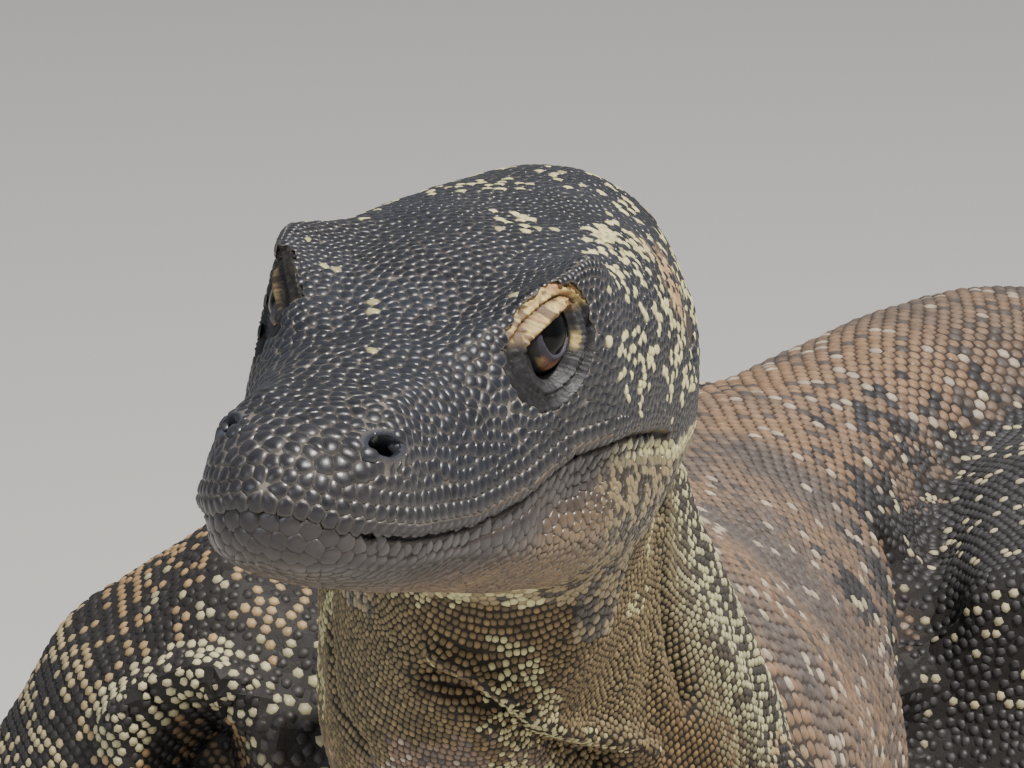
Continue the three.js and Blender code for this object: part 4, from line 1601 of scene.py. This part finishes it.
def paintUpperLid(t, spots, side):
    # cream with brown spots, with painted shade along the crease, a painted shadow under the brow, and
    # painted shade over all of the right lid
    shade = mixTone(lidTones["pink"], lidTones["cream"], ramp(spots, 0.35, 0.55))
    shade = mixTone(shade, lidTones["spot"], ramp(spots, 0.54, 0.64) * 0.9)
    # painted shade along the lid's crease
    shade = mixTone(shade, lidTones["spot"], bell(t - lidPlan["crease"], 0.05) * 0.8)
    # painted shadow under the brow
    shade = mixTone(shade, lidTones["dark"], ramp(t, 0.82, 0.95))
    # painted shade over the right lid
    if side < 0:
        shade = mixTone(shade, lidTones["dark"], 0.55 + 0.42 * ramp(t, 0.12, 0.35))
    return shade


def paintLowerLid(t, angle, spots, crumple):
    # grey rolls on black, with a cream patch at the rear corner; painted shade in the crease, along the outer
    # rim and at the edge against the eyeball
    rolls = bell(t - 0.28, 0.16) + 0.5 * bell(t - 0.76, 0.10) - 0.7 * ramp(np.cos(angle), 0.1, 0.8)
    rolls = np.clip(rolls, 0.0, 1) * (0.6 + 0.5 * spots) + 0.9 * np.maximum(crumple, 0)
    shade = mixTone(lidTones["dark"], lidTones["grey"], rolls)
    corner = bell((np.degrees(angle) - 184) / 11, 1) * bell(t - 0.17, 0.09)
    shade = mixTone(shade, lidTones["cream"], np.clip(corner * 1.5, 0, 1))
    # painted shade in the crease and along the outer rim
    dark = bell(t - lidPlan["lowerCrease"], 0.05) + ramp(t, 0.84, 0.96)
    shade = mixTone(shade, lidTones["dark"], np.minimum(dark, 1.0))
    # painted shade at the edge against the eyeball
    return mixTone(shade, lidTones["dark"] * 0.5, 1 - ramp(t, 0.0, 0.06))


def makeLids(side, label):
    around, rings = lidPlan["around"], lidPlan["rings"]
    angle, inner, outer, edge, rest, upper = lidShapes[side].values()
    hubF, hubU = eye["hub"]
    f0, u0 = hubF + inner * np.cos(angle), hubU + inner * np.sin(angle)
    f1, u1 = hubF + outer * np.cos(angle), hubU + outer * np.sin(angle)
    rows, shades = [], []
    for k in range(-lidPlan["tucked"], rings):
        t = max(k, 0) / (rings - 1)
        f, u = f0 + (f1 - f0) * t, u0 + (u1 - u0) * t
        high = lidPlan["roll"] * bell(t - 0.20, 0.17) + lidPlan["fold"] * bell(t - 0.64, 0.16)
        high -= 0.7 * bell(t - lidPlan["crease"], 0.05)
        low = lidPlan["lowerRoll"] * bell(t - 0.30, 0.22) + 0.6 * bell(t - 0.74, 0.10)
        low -= 0.5 * bell(t - lidPlan["lowerCrease"], 0.05)
        o = lidSlope(edge, rest, t) + high * upper + low * (1 - upper) - 2.2 * ramp(t, 0.88, 1.0)
        if k < 0:
            o = o + lidPlan["tuckIn"] * k
            wide = lidPlan["tuckWide"] * k
            f, u = f - wide * np.cos(angle), u - wide * np.sin(angle)
        near = np.stack([f, u, np.full(around, 3.0 * t)], axis=1)
        crumple = (1 - upper) * (cloud(np.stack([f, u, 0 * f], axis=1), 0.9, 66) - 0.5)
        radial = np.sin(angle * 46 + 5 * cloud(near, 2.2, 61)) * cloud(near, 1.6, 62) + 1.6 * crumple
        pleat = np.sin(t * 30 + 5 * cloud(near, 2.5, 63))
        o = o + lidPlan["wrinkle"] * (radial + 0.7 * pleat) * min(1, t * 6) * (t < 0.97)
        row = eyePoint(side, f, o, u)
        if t > 0.84:
            under, faces = hide.settle(row)
            outside = ((row - under) * faces).sum(1) + 0.6 * mm
            row = row - faces * (np.maximum(outside, 0) * ramp(t, 0.84, 0.93))[:, None]
        rows.append(row)
        spots = cloud(near, 1.9, 64) * 0.7 + cloud(near, 0.7, 65) * 0.3
        lower = paintLowerLid(t, angle, spots, crumple)
        shades.append(mixTone(lower, paintUpperLid(t, spots, side), upper))
    mesh = gridMesh(label, np.array(rows))
    faceOut(mesh, side)
    paintPoints(mesh, np.vstack(shades))
    finishPiece(shown(label, mesh), "lid", "head_hide")


def makeInnerLid(side, label):
    # the folded rim under the eye, between the eyeball and the lower lid; its outer part is painted near
    # black as the shade of the crevice
    angle = np.radians(np.linspace(172, 384, 80))
    outer = aroundHub(eye["opening"], angle) + 0.6
    discF, discU, reach = eye["disc"]
    toDisc = (discF - eye["hub"][0]) * np.cos(angle) + (discU - eye["hub"][1]) * np.sin(angle)
    gap2 = (discF - eye["hub"][0])**2 + (discU - eye["hub"][1])**2
    inner = np.minimum(toDisc + np.sqrt(toDisc**2 - gap2 + reach**2), outer - 0.4)
    rows, shades = [], []
    for t in np.linspace(0, 1, 14):
        reach = inner + (outer - inner) * t
        f, u = eye["hub"][0] + reach * np.cos(angle), eye["hub"][1] + reach * np.sin(angle)
        lift = 0.15 + 0.55 * bell(t - 0.12, 0.12) + 0.35 * bell(t - 0.5, 0.14) - 0.9 * ramp(t, 0.75, 1.0)
        lift = lift - 0.5 * (t == 0)
        near = np.stack([f, u, np.full(len(f), 2 * t)], axis=1)
        lift = lift + 0.10 * (cloud(near, 0.8, 71) - 0.5)
        o = np.sqrt(np.maximum((eye["radius"] + lift)**2 - f**2 - u**2, 1.0))
        rows.append(eyePoint(side, f, o, u))
        warm = ramp(t, 0.26, 0.34) * ramp(-np.sin(angle), 0.30, 0.65)
        shade = mixTone(lidTones["violet"], lidTones["dark"] * 0.6, ramp(t, 0.22, 0.40))
        shade = mixTone(shade, lidTones["orange"], warm * ramp(cloud(near, 1.1, 72), 0.15, 0.45))
        tuck = bell((np.degrees(angle) - 322) / 16, 1) * ramp(t, 0.42, 0.56)
        shade = mixTone(shade, lidTones["cream"] * 0.45, tuck * ramp(cloud(near, 0.9, 73), 0.2, 0.5))
        # painted shade: the outer part near black, in the crevice under the lower lid
        shades.append(mixTone(shade, lidTones["dark"] * 0.3, ramp(t, 0.58, 0.70)))
    mesh = gridMesh(label, np.array(rows), closed=False)
    faceOut(mesh, side)
    paintPoints(mesh, np.vstack(shades))
    finishPiece(shown(label, mesh), "lid", "head_hide")


for side, word in ((1, "left"), (-1, "right")):
    makeEyeball(side, f"eyeball_{word}", f"eye_{word}")
    makeLids(side, f"lids_{word}")
    makeInnerLid(side, f"inner_lid_{word}")
print("eyes and lids set")

# claws and eardrums keep their places, as smooth copies

clawTones = {"root": tone(70, 62, 56), "tip": tone(38, 34, 34)}
eardrum = {"tone": tone(66, 54, 48), "sunk": 0.0012}  # metres below the skin


def smoothCopy(node, name, rounds):
    mesh = nodes[node].data.copy()
    mesh.name = name
    mesh.materials.clear()
    build = bmesh.new()
    build.from_mesh(mesh)
    bmesh.ops.remove_doubles(build, verts=build.verts, dist=1e-6)
    for _ in range(rounds):
        bmesh.ops.subdivide_edges(build, edges=build.edges[:], cuts=1, use_grid_fill=True)
        bmesh.ops.smooth_vert(build, verts=build.verts, factor=0.5,
                              use_axis_x=True, use_axis_y=True, use_axis_z=True)
    build.to_mesh(mesh)
    build.free()
    mesh.shade_smooth()
    return shown(name, mesh)


for node in [n for n in nodes if "claw" in n]:
    piece = smoothCopy(node, node + "_horn", 2)
    points = pointsOf(piece.data)
    low, high = np.array(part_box(node))
    height = (points[:, 2] - low[2]) / (high[2] - low[2])
    ribs = 0.5 + 0.5 * np.sin(points[:, 2] * 2400)
    paintPoints(piece.data, mixTone(clawTones["tip"], clawTones["root"], height * 0.8 + 0.2 * ribs))
    finishPiece(piece, "claw", "claw", node)
for node, inward in (("eardrum_left", -eardrum["sunk"]), ("eardrum_right", eardrum["sunk"])):
    piece = smoothCopy(node, node + "_skin", 2)
    points = pointsOf(piece.data)
    points += headTurn @ np.array([inward, 0, 0])
    movePoints(piece.data, points)
    paintPoints(piece.data, np.tile(eardrum["tone"], (len(points), 1)))
    finishPiece(piece, "lid", "eardrum", node)
print("claws and eardrums set")

# floor, light and the room

stagePlan = {
    "floorSize": 12.0,
    "floorTone": (0.62, 0.60, 0.57),
    "worldTone": (0.80, 0.84, 0.90), "worldStrength": 0.42,
}
lamps = {
    # where it stands from the head, how wide it is, its power and its colour
    "key": ((1.1, -0.7, 2.4), 0.28, 150, (1.0, 0.96, 0.90)),
    "fill": ((-2.2, -2.0, 1.1), 1.6, 26, (0.86, 0.92, 1.0)),
}


def plainMaterial(name, colour, roughness):
    material = bpy.data.materials.new(name)
    material.use_nodes = True
    shader = material.node_tree.nodes["Principled BSDF"]
    shader.inputs["Base Color"].default_value = (*colour, 1)
    shader.inputs["Roughness"].default_value = roughness
    return material


def layFloor():
    half = stagePlan["floorSize"] / 2
    corners = [(-half, -half, 0), (half, -half, 0), (half, half, 0), (-half, half, 0)]
    floor = shown("floor", meshOf("floor", corners, np.array([[0, 1, 2, 3]])))
    floor.data.materials.append(plainMaterial("floor", stagePlan["floorTone"], 0.9))


def softLight(name, away, size, power, colour):
    light = bpy.data.lights.new(name, "AREA")
    light.shape = "DISK"
    light.size = size
    light.energy = power
    light.color = colour
    holder = bpy.data.objects.new(name, light)
    holder.location = Vector(seat) + Vector(away)
    holder.rotation_euler = (Vector(seat) - holder.location).to_track_quat("-Z", "Y").to_euler()
    bpy.context.collection.objects.link(holder)


layFloor()
for name, lamp in lamps.items():
    softLight(name, *lamp)
world = bpy.data.worlds.new("world")
world.use_nodes = True
world.node_tree.nodes["Background"].inputs["Color"].default_value = (*stagePlan["worldTone"], 1)
world.node_tree.nodes["Background"].inputs["Strength"].default_value = stagePlan["worldStrength"]
bpy.context.scene.world = world
print("lights and floor set")
